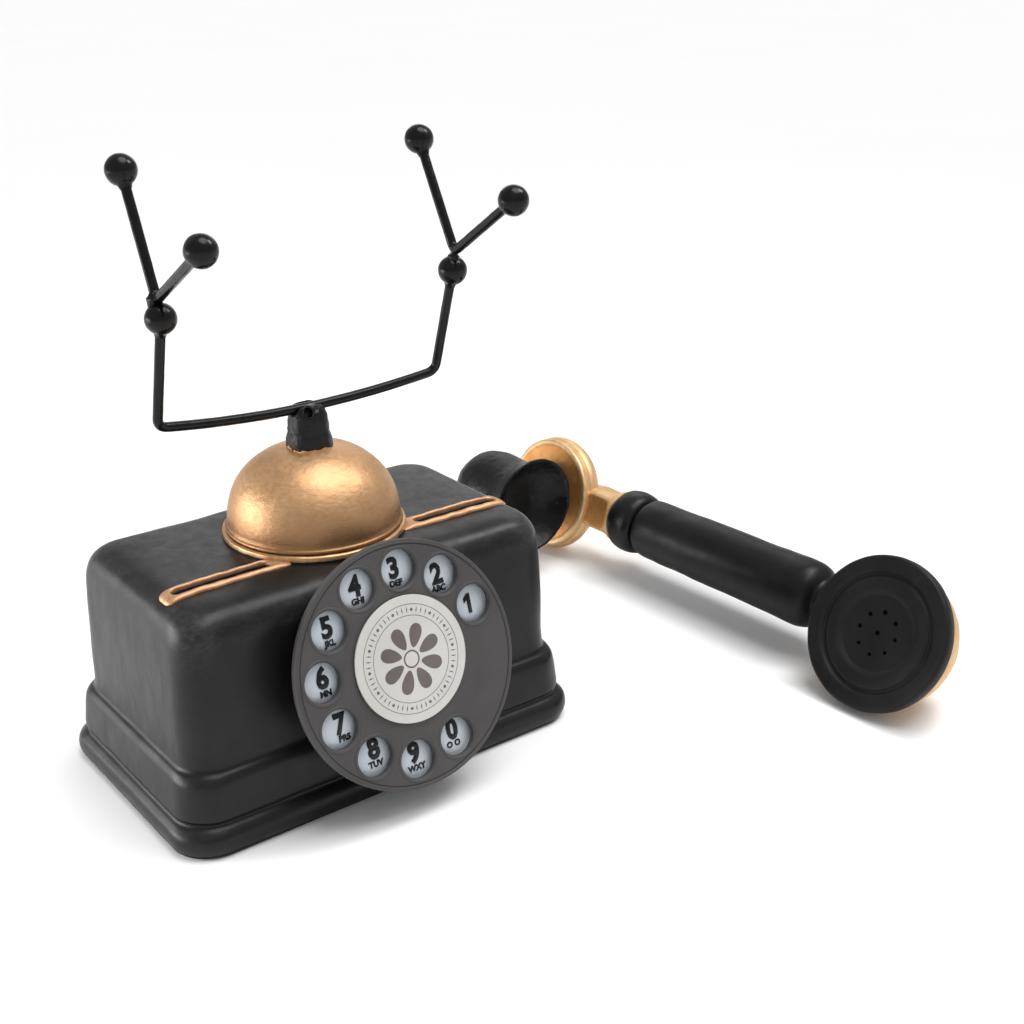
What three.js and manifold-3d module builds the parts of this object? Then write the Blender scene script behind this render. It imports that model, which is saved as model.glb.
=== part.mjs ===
// Decorative cradle telephone with two coin slots in its top: hollow housing on a base plate,
// bell-shaped gong, tilting wire cradle, rotary dial, and a loose handset lying beside it.
// Millimetres. The origin is the middle of the base on the floor, +Z is up, the dial faces -Y.

import * as THREE from 'three';
import { mergeVertices } from 'three/addons/utils/BufferGeometryUtils.js';
import Module from 'manifold-3d';

const wasm = await Module();
wasm.setup();

// ---- driving dimensions -------------------------------------------------------------------

const GAP = 0.3;                     // clearance between pieces that touch
const OVERSHOOT = 2;                 // how far a cutting tool runs past the face it cuts
const NUT_FLAT = 4;                  // half the width across flats
const NUT_HEIGHT = 4;
const SIX_SIDES = 6;

// housing
const BASE_HALF_WIDTH = 77.8;        // at the nose of the bottom roll
const BASE_HALF_DEPTH = 48.7;
const BASE_CORNER = 14;
const CORNER_SHRINK = 0.35;          // corner radius lost per millimetre of inset
const HOUSING_FOOT = 0.3;            // the lower edge stands this far above the floor
const HOUSING_TOP = 79.2;            // the top is slightly crowned
const UPPER_INSET = 6.2;             // upper wall, measured in from the nose
const CAVITY_HALF_WIDTH = 66.8;
const CAVITY_HALF_DEPTH = 37.7;
const CAVITY_CORNER = 8;
const CAVITY_ROOF = 75.2;
const CAVITY_SHOULDER = 5;           // chamfer between the inner wall and the roof

// base
const PAD_THICKNESS = 1.3;
const PLATE_BOTTOM = PAD_THICKNESS + GAP;
const PLATE_THICKNESS = 3;
const PLATE_INSET = 5.8;
const PLATE_CORNER = 9;
const SCREW_X = 61.5;
const SCREW_Y = 32.5;
const SCREW_RADIUS = 1.4;
const SCREW_HEAD_RADIUS = 3.2;
const SCREW_HEAD_DEPTH = 1.8;
const SCREW_LENGTH = 15;
const SCREW_SLOT_LENGTH = 3.6;       // cross recess in the head
const SCREW_SLOT_WIDTH = 0.8;
const BOSS_RADIUS = 6;
const BOSS_TOP = 24;
const PLUG_X = 36;
const PLUG_RADIUS = 16.2;
const PLUG_FLANGE_RADIUS = 18.6;
const PLUG_HEIGHT = 6;
const PLUG_TAPER = 0.6;

// coin slots and their raised frames
const SLOT_Y = -18.8;
const SLOT_INNER_X = 28.6;
const SLOT_OUTER_X = 60.9;
const SLOT_WIDTH = 3;
const TRIM_WIDTH = 8.2;
const TRIM_INNER_X = 24;
const TRIM_OUTER_X = 64.9;
const TRIM_RISE = 1;
const TRIM_CORNER = 3;

// gong and its stud
const RING_RADIUS = 31.1;
const RING_INNER_RADIUS = 24;
const RING_HEIGHT = 1.8;
const RING_SKIRT = 2;                // reaches down to the crowned top all round
const RING_ROUND = 0.6;
const RING_BOTTOM = HOUSING_TOP + GAP;
const GONG_RADIUS = 29.3;
const GONG_WALL = 2;
const GONG_BOTTOM = RING_BOTTOM + RING_HEIGHT + GAP;
const GONG_HEIGHT = 27.2;
const GONG_ROUNDNESS = 2.25;         // exponent of the dome's superellipse
const STUD_RADIUS = 2.4;
const STUD_BOTTOM = 67;
const STUD_TOP = 117;
const GONG_WASHER_RADIUS = 7;
const GONG_WASHER_THICKNESS = 1.2;

// cradle
const CRADLE_YAW = -2.6;             // degrees about +Z
const CRADLE_LEAN = 15.1;            // degrees forward, at rest
const PIVOT_HEIGHT = 121.7;
const ROD_RADIUS = 1.65;
const CROSSBAR_HALF = 50.4;
const CROSSBAR_SAG = 3.7;            // the middle hangs below the two lower corners
const CROSSBAR_SKEW = -1.4;          // the lower corners sit off to the left
const CROSSBAR_BEND = 3.4;
const LEG_HEIGHT = 41.4;             // pivot to joint ball
const LEG_SPREAD = 50.9;
const BALL_RADIUS = 5;
const FORK_VERTEX = { left: [3, 4.6], right: [0, 6.6] };   // [back, up] from the joint ball
const FORK_TURN = { left: 0, right: -2.5 };                // degrees about the joint ball
const FORK_BEND = 3;
const TIP_SPREAD = 51.5;
const TIP_REACH = 27.8;              // to the front and to the back
const TIP_HEIGHT = 76.3;             // above the pivot
const POST_BOTTOM = 102;
const POST_TOP = 122.6;
const POST_BASE_HALF = 6.7;
const POST_TOP_HALF = 5.5;
const POST_CORNER_SHARE = 0.56;      // corner radius over half width
const KEEPER_RADIUS = 2.3;
const KEEPER_LENGTH = 6.4;
const KEEPER_OFFSET = new THREE.Vector3(0, -4.3, -0.3);

// dial: local +Z is the way it faces, local +Y is up the face, 0 is the wheel's front face
const DIAL_CENTRE = new THREE.Vector3(0, -55.3, 49.3);
const DIAL_TILT_BACK = 17.2;         // degrees
const WHEEL_RADIUS = 40.5;
const WHEEL_THICKNESS = 2.6;
const WHEEL_SEGMENTS = 60;
const FINGER_HOLES = 10;
const FINGER_HOLE_RADIUS = 6.3;
const FINGER_CIRCLE_RADIUS = 30.9;
const FIRST_HOLE_ANGLE = 23.4;       // degrees from +X, anticlockwise
const HOLE_STEP = 30;
const LABEL_RADIUS = 20.6;
const LABEL_THICKNESS = 0.7;
const LABEL_OFFSET = [0.8, 1.8];     // the label is set slightly right of and above the middle
const NUMBER_PLATE_FRONT = -4.2;
const NUMBER_PLATE_THICKNESS = 1.6;
const NUMBER_PLATE_RADIUS = 37.6;
const CASE_FRONT = NUMBER_PLATE_FRONT - NUMBER_PLATE_THICKNESS - GAP;
const CASE_RIM_THICKNESS = 2.4;
const CASE_RIM_RADIUS = 36;
const CASE_WEDGE_RADIUS = 30;
const SPINDLE_RADIUS = 2.6;
const SPINDLE_HEAD_RADIUS = 6;
const SPINDLE_HEAD_THICKNESS = 1.2;
const SPINDLE_LENGTH = 33;
const BUSH_RADIUS = 4.7;
const BUSH_FLANGE_RADIUS = 7.5;
const BUSH_BACK = -26;
const DIAL_WASHER_RADIUS = 6;
const DIAL_WASHER_THICKNESS = 1;

// handset: local +Y runs along the grip to the transmitter, both caps face local -X
const HANDSET_PLACE = new THREE.Vector3(177.9, -13.4, 23.35);
const HANDSET_YAW = 2.75;            // degrees about +Z
const HANDSET_ROLL = 27;             // degrees; turns the caps upward
const TRANSMITTER_TWIST = -12;       // the transmitter end is set back from the ear end
const GRIP_START = 37.6;
const GRIP_SHOULDER = -50;
const GRIP_THIN_RADIUS = 13;
const GRIP_THICK_RADIUS = 13.8;
const GRIP_NECK_RADIUS = 8.5;
const TIE_ROD_RADIUS = 2.4;
const TIE_ROD_LENGTH = 146;
const TIE_ROD_MIDDLE = -4;
const BEAD_END = 52;
const BEAD_RADIUS = 13.8;
const BEAD_END_LOSS = 0.2;           // share of the radius lost at its two ends
const NECK_RADIUS = 8.9;
const FLARE_RADIUS = 11.6;
const EAR_Y = -93.3;
const EAR_FRONT = 16.6;              // cap face ahead of the grip's axis
const EAR_DROP = 2.7;
const EAR_CAP_RADIUS = 29;
const EAR_CAP_THICKNESS = 5.4;
const EAR_GROOVE_SHARE = 0.76;       // groove radius over cap radius
const EAR_CUP_RADIUS = 26;
const EAR_CUP_WALL = 3;
const EAR_CUP_SHIFT = 1.8;            // cup's middle beyond the cap's, away from the grip
const SOUND_HOLES = 8;
const SOUND_HOLE_RADIUS = 1;
const SOUND_CIRCLE_RADIUS = 8;
const TRANSMITTER_Y = 91.8;
const TRANSMITTER_RADIUS = 25.3;
const TRANSMITTER_FRONT = 11.2;
const HORN_REACH = 39.2;             // elbow centre ahead of the grip's axis
const HORN_SHIFT = 2.5;              // elbow centre beyond the transmitter's centre
const HORN_ELBOW_RADIUS = 18;
const HORN_LENGTH = 25;              // elbow centre to mouth
const HORN_MOUTH_RADIUS = 20.6;
const HORN_LIP = 2.4;
const HORN_BOWL_DEPTH = 15;
const HORN_STUB_RADIUS = 13;

// ---- materials ----------------------------------------------------------------------------

function finish(color, roughness, metalness) {
  return new THREE.MeshStandardMaterial({ color, roughness, metalness });
}

const blackPaint = finish(0x1b1b1c, 0.45, 0);
const blackEnamel = finish(0x121213, 0.25, 0);
const copperPaint = finish(0xc4935c, 0.4, 0.8);
const goldPaint = finish(0xcf9a55, 0.42, 0.75);
const wheelGrey = finish(0x4b4747, 0.6, 0);
const plateSilver = finish(0xa5b0ba, 0.4, 0.5);
const labelSilver = finish(0xd6d4d0, 0.35, 0.3);
const steel = finish(0x9a9da1, 0.35, 1);
const brass = finish(0xb08d4a, 0.35, 1);
const fibreboard = finish(0x6b4c31, 0.85, 0);
const felt = finish(0x15161a, 0.95, 0);
const rubber = finish(0x222222, 0.8, 0);

// ---- shared shape helpers -----------------------------------------------------------------

const radians = THREE.MathUtils.degToRad;

function signedVolume(position, index) {
  const a = new THREE.Vector3();
  const b = new THREE.Vector3();
  const c = new THREE.Vector3();
  let sum = 0;
  for (let i = 0; i < index.length; i += 3) {
    a.fromBufferAttribute(position, index[i]);
    b.fromBufferAttribute(position, index[i + 1]);
    c.fromBufferAttribute(position, index[i + 2]);
    sum += a.dot(b.cross(c));
  }
  return sum / 6;
}

// A closed three.js geometry as a solid that can be cut and joined.
function solid(geometry) {
  const bare = geometry.clone();
  bare.deleteAttribute('normal');
  bare.deleteAttribute('uv');
  const merged = mergeVertices(bare, 1e-4);
  const all = merged.index.array;
  const kept = [];
  for (let i = 0; i < all.length; i += 3) {
    const corners = [all[i], all[i + 1], all[i + 2]];
    if (new Set(corners).size === 3) {
      kept.push(...corners);
    }
  }
  const inward = signedVolume(merged.attributes.position, kept) < 0;
  const triangles = inward ? kept.reverse() : kept;
  return new wasm.Manifold(new wasm.Mesh({
    numProp: 3,
    vertProperties: Float32Array.from(merged.attributes.position.array),
    triVerts: Uint32Array.from(triangles),
  }));
}

function piece(name, body, material) {
  const result = body.getMesh();
  const geometry = new THREE.BufferGeometry();
  geometry.setAttribute('position', new THREE.BufferAttribute(result.vertProperties, 3));
  geometry.setIndex(new THREE.BufferAttribute(result.triVerts, 1));
  geometry.computeVertexNormals();
  const mesh = new THREE.Mesh(geometry, material);
  mesh.name = name;
  return mesh;
}

// Turned shape about +Z from [radius, height] pairs.
function turned(outline, segments = 32) {
  const points = outline.map(([radius, height]) => new THREE.Vector2(radius, height));
  return new THREE.LatheGeometry(points, segments).rotateX(Math.PI / 2);
}

// Turned shape about +Y from [radius, y] pairs.
function turnedAlongY(outline, segments = 32) {
  const points = outline.map(([radius, y]) => new THREE.Vector2(radius, y));
  return new THREE.LatheGeometry(points, segments);
}

function cylinder(radius, bottom, top, segments = 32) {
  const height = top - bottom;
  const geometry = new THREE.CylinderGeometry(radius, radius, height, segments);
  return geometry.rotateX(Math.PI / 2).translate(0, 0, bottom + height / 2);
}

function ringOfMetal(outerRadius, innerRadius, bottom, top, segments = 32) {
  return solid(cylinder(outerRadius, bottom, top, segments))
    .subtract(solid(cylinder(innerRadius, bottom - OVERSHOOT, top + OVERSHOOT, segments)));
}

function box(width, depth, height, x, y, z) {
  return new THREE.BoxGeometry(width, depth, height).translate(x, y, z);
}

// Points of a rounded rectangle, anticlockwise, the same number for every size.
function roundedOutline(halfWidth, halfDepth, corner, perCorner = 6) {
  const points = [];
  const corners = [[1, 1, 0], [-1, 1, 90], [-1, -1, 180], [1, -1, 270]];
  for (const [sideX, sideY, start] of corners) {
    for (let i = 0; i <= perCorner; i += 1) {
      const angle = radians(start + (90 * i) / perCorner);
      const x = sideX * (halfWidth - corner) + corner * Math.cos(angle);
      const y = sideY * (halfDepth - corner) + corner * Math.sin(angle);
      points.push(new THREE.Vector2(x, y));
    }
  }
  return points;
}

// Closed skin over outlines stacked in height, each an { outline, z } with equal point counts.
function stacked(levels) {
  const count = levels[0].outline.length;
  const positions = [];
  const index = [];
  for (const { outline, z } of levels) {
    for (const point of outline) {
      positions.push(point.x, point.y, z);
    }
  }
  for (let level = 0; level < levels.length - 1; level += 1) {
    for (let i = 0; i < count; i += 1) {
      const next = (i + 1) % count;
      const a = level * count + i;
      const b = level * count + next;
      index.push(a, b, b + count);
      index.push(a, b + count, a + count);
    }
  }
  const bottomMiddle = positions.length / 3;
  positions.push(0, 0, levels[0].z);
  const topMiddle = bottomMiddle + 1;
  positions.push(0, 0, levels[levels.length - 1].z);
  const topStart = (levels.length - 1) * count;
  for (let i = 0; i < count; i += 1) {
    const next = (i + 1) % count;
    index.push(bottomMiddle, next, i);
    index.push(topMiddle, topStart + i, topStart + next);
  }
  const geometry = new THREE.BufferGeometry();
  geometry.setAttribute('position', new THREE.Float32BufferAttribute(positions, 3));
  geometry.setIndex(index);
  return geometry;
}

function roundedBlock(halfWidth, halfDepth, corner, bottom, top) {
  const outline = roundedOutline(halfWidth, halfDepth, corner);
  return stacked([{ outline, z: bottom }, { outline, z: top }]);
}

function roundBar(curve, radius, steps, sides = 8) {
  const section = new THREE.Shape();
  section.absarc(0, 0, radius, 0, 2 * Math.PI);
  const options = { steps, extrudePath: curve, curveSegments: sides / 2, bevelEnabled: false };
  return new THREE.ExtrudeGeometry(section, options);
}

// Straight runs through the points with each inner corner rounded.
function bentPath(points, bend) {
  const path = new THREE.CurvePath();
  let from = points[0];
  for (let i = 1; i < points.length - 1; i += 1) {
    const corner = points[i];
    const back = points[i - 1].clone().sub(corner).normalize();
    const ahead = points[i + 1].clone().sub(corner).normalize();
    const bendStart = corner.clone().addScaledVector(back, bend);
    const bendEnd = corner.clone().addScaledVector(ahead, bend);
    path.add(new THREE.LineCurve3(from, bendStart));
    path.add(new THREE.QuadraticBezierCurve3(bendStart, corner, bendEnd));
    from = bendEnd;
  }
  path.add(new THREE.LineCurve3(from, points[points.length - 1]));
  return path;
}

function ballAt(centre, radius, across = 14, up = 10) {
  return new THREE.SphereGeometry(radius, across, up).translate(centre.x, centre.y, centre.z);
}

function hexNut(name, bore, top) {
  const bottom = top - NUT_HEIGHT;
  const corner = NUT_FLAT / Math.cos(Math.PI / SIX_SIDES);
  const outer = solid(cylinder(corner, bottom, top, SIX_SIDES));
  const hole = solid(cylinder(bore, bottom - OVERSHOOT, top + OVERSHOOT, 16));
  return piece(name, outer.subtract(hole), steel);
}

// ---- housing ------------------------------------------------------------------------------

// [height, inset from the nose]: bottom roll, groove, plinth wall, ledge, upper wall, round top
const HOUSING_PROFILE = [
  [HOUSING_FOOT, 1.6], [1.6, 0.6], [4.6, 0], [7.4, 0.5], [9.2, 1.9], [10.5, 3.2],
  [12.2, 2.6], [22.4, 3.5], [24.8, 4], [26.3, 4.9], [27.1, UPPER_INSET],
  [64, 7.7], [70.4, 8.6], [74.4, 10.5], [76.8, 13.4], [78, 17], [78.8, 24], [HOUSING_TOP, 34],
];

function housingSkin(grow = 0) {
  const levels = HOUSING_PROFILE.map(([height, inset], i) => {
    const last = i === HOUSING_PROFILE.length - 1;
    const halfWidth = BASE_HALF_WIDTH - inset + grow;
    const halfDepth = BASE_HALF_DEPTH - inset + grow;
    const corner = BASE_CORNER - CORNER_SHRINK * Math.min(inset, 20) + grow;
    const z = inset > 10 || last ? height + grow : height;
    return { outline: roundedOutline(halfWidth, halfDepth, corner, 5), z };
  });
  return solid(stacked(levels));
}

function cavity() {
  const wall = roundedOutline(CAVITY_HALF_WIDTH, CAVITY_HALF_DEPTH, CAVITY_CORNER);
  const roof = roundedOutline(
    CAVITY_HALF_WIDTH - CAVITY_SHOULDER,
    CAVITY_HALF_DEPTH - CAVITY_SHOULDER,
    CAVITY_CORNER - CAVITY_SHOULDER / 2,
  );
  return solid(stacked([
    { outline: wall, z: -OVERSHOOT },
    { outline: wall, z: CAVITY_ROOF - CAVITY_SHOULDER },
    { outline: roof, z: CAVITY_ROOF },
  ]));
}

function screwPlaces() {
  return [[SCREW_X, SCREW_Y], [-SCREW_X, SCREW_Y], [-SCREW_X, -SCREW_Y], [SCREW_X, -SCREW_Y]];
}

function slotCutter(side) {
  const straight = SLOT_OUTER_X - SLOT_INNER_X - SLOT_WIDTH;
  const middle = (SLOT_OUTER_X + SLOT_INNER_X) / 2;
  const radius = SLOT_WIDTH / 2;
  const bottom = CAVITY_ROOF - CAVITY_SHOULDER - OVERSHOOT;
  const top = HOUSING_TOP + 3 * OVERSHOOT;
  return solid(roundedBlock(straight / 2 + radius, radius, radius * 0.98, bottom, top)
    .translate(side * middle, SLOT_Y, 0));
}

function dialToWorld(geometry) {
  const turn = radians(90 - DIAL_TILT_BACK);
  return geometry.rotateX(turn).translate(DIAL_CENTRE.x, DIAL_CENTRE.y, DIAL_CENTRE.z);
}

function housing() {
  const recessHalfWidth = BASE_HALF_WIDTH - PLATE_INSET + GAP;
  const recessHalfDepth = BASE_HALF_DEPTH - PLATE_INSET + GAP;
  const recessTop = PLATE_BOTTOM + PLATE_THICKNESS + GAP;
  const recessCorner = PLATE_CORNER + GAP;
  const recess = roundedBlock(recessHalfWidth, recessHalfDepth, recessCorner, -OVERSHOOT, recessTop);
  const pilotTop = PLATE_BOTTOM + SCREW_LENGTH + 1;
  let body = housingSkin().subtract(cavity());
  for (const [x, y] of screwPlaces()) {
    const boss = cylinder(BOSS_RADIUS, recessTop - 1, BOSS_TOP, 20);
    body = body.add(solid(boss.translate(x, y, 0)));
  }
  body = body.subtract(solid(recess));
  for (const [x, y] of screwPlaces()) {
    const pilot = cylinder(SCREW_RADIUS + GAP, 0, pilotTop, 12);
    body = body.subtract(solid(pilot.translate(x, y, 0)));
  }
  for (const side of [-1, 1]) {
    body = body.subtract(slotCutter(side));
  }
  body = body.subtract(solid(cylinder(STUD_RADIUS + GAP, STUD_BOTTOM, STUD_TOP, 24)));
  const bushHole = cylinder(BUSH_RADIUS + GAP, BUSH_BACK, 0, 20);
  body = body.subtract(solid(dialToWorld(bushHole)));
  return piece('housing', body, blackPaint);
}

// ---- base ---------------------------------------------------------------------------------

function basePlate() {
  const halfWidth = BASE_HALF_WIDTH - PLATE_INSET;
  const halfDepth = BASE_HALF_DEPTH - PLATE_INSET;
  const top = PLATE_BOTTOM + PLATE_THICKNESS;
  let body = solid(roundedBlock(halfWidth, halfDepth, PLATE_CORNER, PLATE_BOTTOM, top));
  const plugHole = cylinder(PLUG_RADIUS + GAP, 0, top + OVERSHOOT, 32).translate(PLUG_X, 0, 0);
  body = body.subtract(solid(plugHole));
  for (const [x, y] of screwPlaces()) {
    body = body.subtract(solid(screwShape(GAP).translate(x, y, 0)));
  }
  return piece('base_plate', body, fibreboard);
}

function basePad() {
  const halfWidth = BASE_HALF_WIDTH - PLATE_INSET;
  const halfDepth = BASE_HALF_DEPTH - PLATE_INSET;
  const sheet = solid(roundedBlock(halfWidth, halfDepth, PLATE_CORNER, 0, PAD_THICKNESS));
  const hole = cylinder(PLUG_FLANGE_RADIUS + 2 * GAP, -OVERSHOOT, OVERSHOOT, 32);
  return piece('base_pad', sheet.subtract(solid(hole.translate(PLUG_X, 0, 0))), felt);
}

// Countersunk wood screw pointing up, with its head flush with the plate's underside.
function screwShape(grow = 0) {
  const bottom = PLATE_BOTTOM + 0.1 - grow;
  return turned([
    [0, bottom], [SCREW_HEAD_RADIUS + grow, bottom],
    [SCREW_RADIUS + grow, bottom + SCREW_HEAD_DEPTH + grow],
    [SCREW_RADIUS + grow, PLATE_BOTTOM + SCREW_LENGTH - OVERSHOOT],
    [0, PLATE_BOTTOM + SCREW_LENGTH],
  ], 12);
}

function baseScrews() {
  const slotHeight = 2 * SCREW_SLOT_WIDTH;
  return screwPlaces().map(([x, y], i) => {
    const across = box(SCREW_SLOT_LENGTH, SCREW_SLOT_WIDTH, slotHeight, 0, 0, PLATE_BOTTOM);
    const along = box(SCREW_SLOT_WIDTH, SCREW_SLOT_LENGTH, slotHeight, 0, 0, PLATE_BOTTOM);
    const body = solid(screwShape()).subtract(solid(across)).subtract(solid(along));
    const mesh = piece(`base_screw_${i + 1}`, body, steel);
    mesh.position.set(x, y, 0);
    return mesh;
  });
}

function coinPlug() {
  const flangeBottom = GAP;
  const body = solid(turned([
    [0, flangeBottom], [PLUG_FLANGE_RADIUS, flangeBottom], [PLUG_FLANGE_RADIUS, PAD_THICKNESS],
    [PLUG_RADIUS, PAD_THICKNESS], [PLUG_RADIUS - PLUG_TAPER, PLUG_HEIGHT], [0, PLUG_HEIGHT],
  ], 32));
  const mesh = piece('coin_plug', body, rubber);
  mesh.position.set(PLUG_X, 0, 0);
  return mesh;
}

// ---- coin slot frames ---------------------------------------------------------------------

function slotTrim(name, side) {
  const middle = (TRIM_OUTER_X + TRIM_INNER_X) / 2;
  const half = (TRIM_OUTER_X - TRIM_INNER_X) / 2;
  const bottom = CAVITY_ROOF - OVERSHOOT;
  const top = HOUSING_TOP + OVERSHOOT;
  const block = roundedBlock(half, TRIM_WIDTH / 2, TRIM_CORNER, bottom, top);
  const ringSpace = cylinder(RING_RADIUS + GAP, 0, 2 * HOUSING_TOP, 48);
  const body = solid(block.translate(side * middle, SLOT_Y, 0))
    .intersect(housingSkin(TRIM_RISE))
    .subtract(housingSkin(GAP))
    .subtract(solid(ringSpace))
    .subtract(slotCutter(side));
  return piece(name, body, copperPaint);
}

// ---- gong ---------------------------------------------------------------------------------

function gongRing() {
  const top = RING_BOTTOM + RING_HEIGHT;
  const bottom = RING_BOTTOM - RING_SKIRT;
  const blank = solid(turned([
    [RING_INNER_RADIUS, bottom], [RING_RADIUS, bottom], [RING_RADIUS, top - RING_ROUND],
    [RING_RADIUS - RING_ROUND, top], [RING_INNER_RADIUS, top], [RING_INNER_RADIUS, bottom],
  ], 40));
  return piece('gong_ring', blank.subtract(housingSkin(GAP)), copperPaint);
}

// Half section of the dome as [radius, height] pairs from the rim to the crown.
function domeOutline(radius, height, steps) {
  const points = [];
  for (let i = 0; i <= steps; i += 1) {
    const angle = (Math.PI / 2) * (i / steps);
    const across = radius * Math.cos(angle) ** (2 / GONG_ROUNDNESS);
    const up = height * Math.sin(angle) ** (2 / GONG_ROUNDNESS);
    points.push([i === steps ? 0 : across, GONG_BOTTOM + up]);
  }
  return points;
}

function gongSolid(grow = 0) {
  const outline = domeOutline(GONG_RADIUS + grow, GONG_HEIGHT + grow, 9);
  return solid(turned([[0, GONG_BOTTOM], ...outline], 36));
}

function gong() {
  const innerRadius = GONG_RADIUS - GONG_WALL;
  const below = GONG_BOTTOM - OVERSHOOT;
  const inner = domeOutline(innerRadius, GONG_HEIGHT - GONG_WALL, 5);
  const hollow = turned([[0, below], [innerRadius, below], ...inner], 28);
  const studHole = cylinder(STUD_RADIUS + GAP, STUD_BOTTOM, STUD_TOP, 16);
  return piece('gong', gongSolid().subtract(solid(hollow)).subtract(solid(studHole)), copperPaint);
}

function gongStud() {
  return piece('gong_stud', solid(cylinder(STUD_RADIUS, STUD_BOTTOM, STUD_TOP, 16)), steel);
}

function gongWasher() {
  const top = CAVITY_ROOF - GAP;
  const bottom = top - GONG_WASHER_THICKNESS;
  const body = ringOfMetal(GONG_WASHER_RADIUS, STUD_RADIUS + GAP, bottom, top, 20);
  return piece('gong_washer', body, steel);
}

function gongNut() {
  return hexNut('gong_nut', STUD_RADIUS + GAP, CAVITY_ROOF - GONG_WASHER_THICKNESS - 2 * GAP);
}

// ---- cradle -------------------------------------------------------------------------------

const LEAN = new THREE.Matrix4().makeRotationX(radians(CRADLE_LEAN));

// A point of the wire frame, measured from the pivot before it leans forward.
function framePoint(x, y, z) {
  return new THREE.Vector3(x, y, z).applyMatrix4(LEAN);
}

// Leg, bend, bowed crossbar, bend and leg, as one bent rod.
function crossbarPath() {
  const corners = [-1, 1].map((side) => ({
    top: framePoint(side * LEG_SPREAD, 0, LEG_HEIGHT),
    corner: framePoint(side * CROSSBAR_HALF + CROSSBAR_SKEW, 0, CROSSBAR_SAG),
  }));
  const lowest = framePoint(CROSSBAR_SKEW, 0, -CROSSBAR_SAG);
  const [left, right] = corners.map(({ top, corner }) => {
    const up = top.clone().sub(corner).normalize();
    const along = lowest.clone().sub(corner).normalize();
    return {
      top,
      corner,
      upper: corner.clone().addScaledVector(up, CROSSBAR_BEND),
      lower: corner.clone().addScaledVector(along, CROSSBAR_BEND),
    };
  });
  const path = new THREE.CurvePath();
  path.add(new THREE.LineCurve3(left.top, left.upper));
  path.add(new THREE.QuadraticBezierCurve3(left.upper, left.corner, left.lower));
  path.add(new THREE.QuadraticBezierCurve3(left.lower, lowest, right.lower));
  path.add(new THREE.QuadraticBezierCurve3(right.lower, right.corner, right.upper));
  path.add(new THREE.LineCurve3(right.upper, right.top));
  return path;
}

function jointCentre(side) {
  return framePoint(side * LEG_SPREAD, 0, LEG_HEIGHT);
}

// A point of a fork, measured from its joint ball and turned with the fork.
function forkPoint(side, word, x, y, z) {
  const turn = new THREE.Matrix4().makeRotationX(radians(FORK_TURN[word]));
  const local = new THREE.Vector3(x, y, z).applyMatrix4(turn);
  return framePoint(side * LEG_SPREAD + local.x, local.y, LEG_HEIGHT + local.z);
}

function tipCentre(side, word, end) {
  const outward = side * (TIP_SPREAD - LEG_SPREAD);
  return forkPoint(side, word, outward, end * TIP_REACH, TIP_HEIGHT - LEG_HEIGHT);
}

function crossbar() {
  let body = solid(roundBar(crossbarPath(), ROD_RADIUS, 52));
  for (const side of [-1, 1]) {
    body = body.subtract(solid(ballAt(jointCentre(side), BALL_RADIUS + GAP)));
  }
  return piece('cradle_crossbar', body, blackEnamel);
}

function fork(side, word) {
  const vertex = forkPoint(side, word, 0, ...FORK_VERTEX[word]);
  const front = tipCentre(side, word, -1);
  const back = tipCentre(side, word, 1);
  let body = solid(roundBar(bentPath([front, vertex, back], FORK_BEND), ROD_RADIUS, 22));
  for (const centre of [front, back, jointCentre(side)]) {
    body = body.subtract(solid(ballAt(centre, BALL_RADIUS + GAP)));
  }
  return piece(`cradle_fork_${word}`, body, blackEnamel);
}

function ball(name, centre) {
  const mesh = piece(name, solid(new THREE.SphereGeometry(BALL_RADIUS, 14, 10)), blackEnamel);
  mesh.position.copy(centre);
  return mesh;
}

// Round bar along X, centred on a point.
function crossBar(radius, length, centre) {
  const bar = new THREE.CylinderGeometry(radius, radius, length, 16).rotateZ(Math.PI / 2);
  return solid(bar.translate(centre.x, centre.y, centre.z));
}

// [height, half width] of the tapered block, from inside the gong's crown to its top edge
const POST_PROFILE = [
  [POST_BOTTOM, POST_BASE_HALF + 0.3], [111, POST_BASE_HALF], [114.6, POST_BASE_HALF - 0.4],
  [119.6, POST_TOP_HALF + 0.2], [POST_TOP - 0.8, POST_TOP_HALF], [POST_TOP, POST_TOP_HALF - 1],
];

function cradlePost() {
  const levels = POST_PROFILE.map(([z, half]) => {
    const outline = roundedOutline(half, half, half * POST_CORNER_SHARE, 3);
    return { outline, z };
  });
  const pivot = new THREE.Vector3(0, 0, PIVOT_HEIGHT);
  const across = 4 * POST_BASE_HALF;
  const rodSpace = ROD_RADIUS + 2 * GAP;
  const mouthHeight = 4 * rodSpace;
  const mouth = box(across, 2 * rodSpace, mouthHeight, 0, 0, PIVOT_HEIGHT + mouthHeight / 2);
  const keeperCentre = pivot.clone().add(KEEPER_OFFSET);
  const body = solid(stacked(levels))
    .subtract(gongSolid(GAP))
    .subtract(solid(cylinder(STUD_RADIUS + GAP, 0, STUD_TOP + GAP, 16)))
    .subtract(crossBar(rodSpace, across, pivot))
    .subtract(solid(mouth))
    .subtract(crossBar(KEEPER_RADIUS + GAP, KEEPER_LENGTH + 2 * GAP, keeperCentre));
  return piece('cradle_post', body, blackPaint);
}

function cradleKeeper() {
  const middle = new THREE.Vector3();
  const mesh = piece('cradle_keeper', crossBar(KEEPER_RADIUS, KEEPER_LENGTH, middle), blackEnamel);
  mesh.position.copy(KEEPER_OFFSET).add(new THREE.Vector3(0, 0, PIVOT_HEIGHT));
  return mesh;
}

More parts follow.
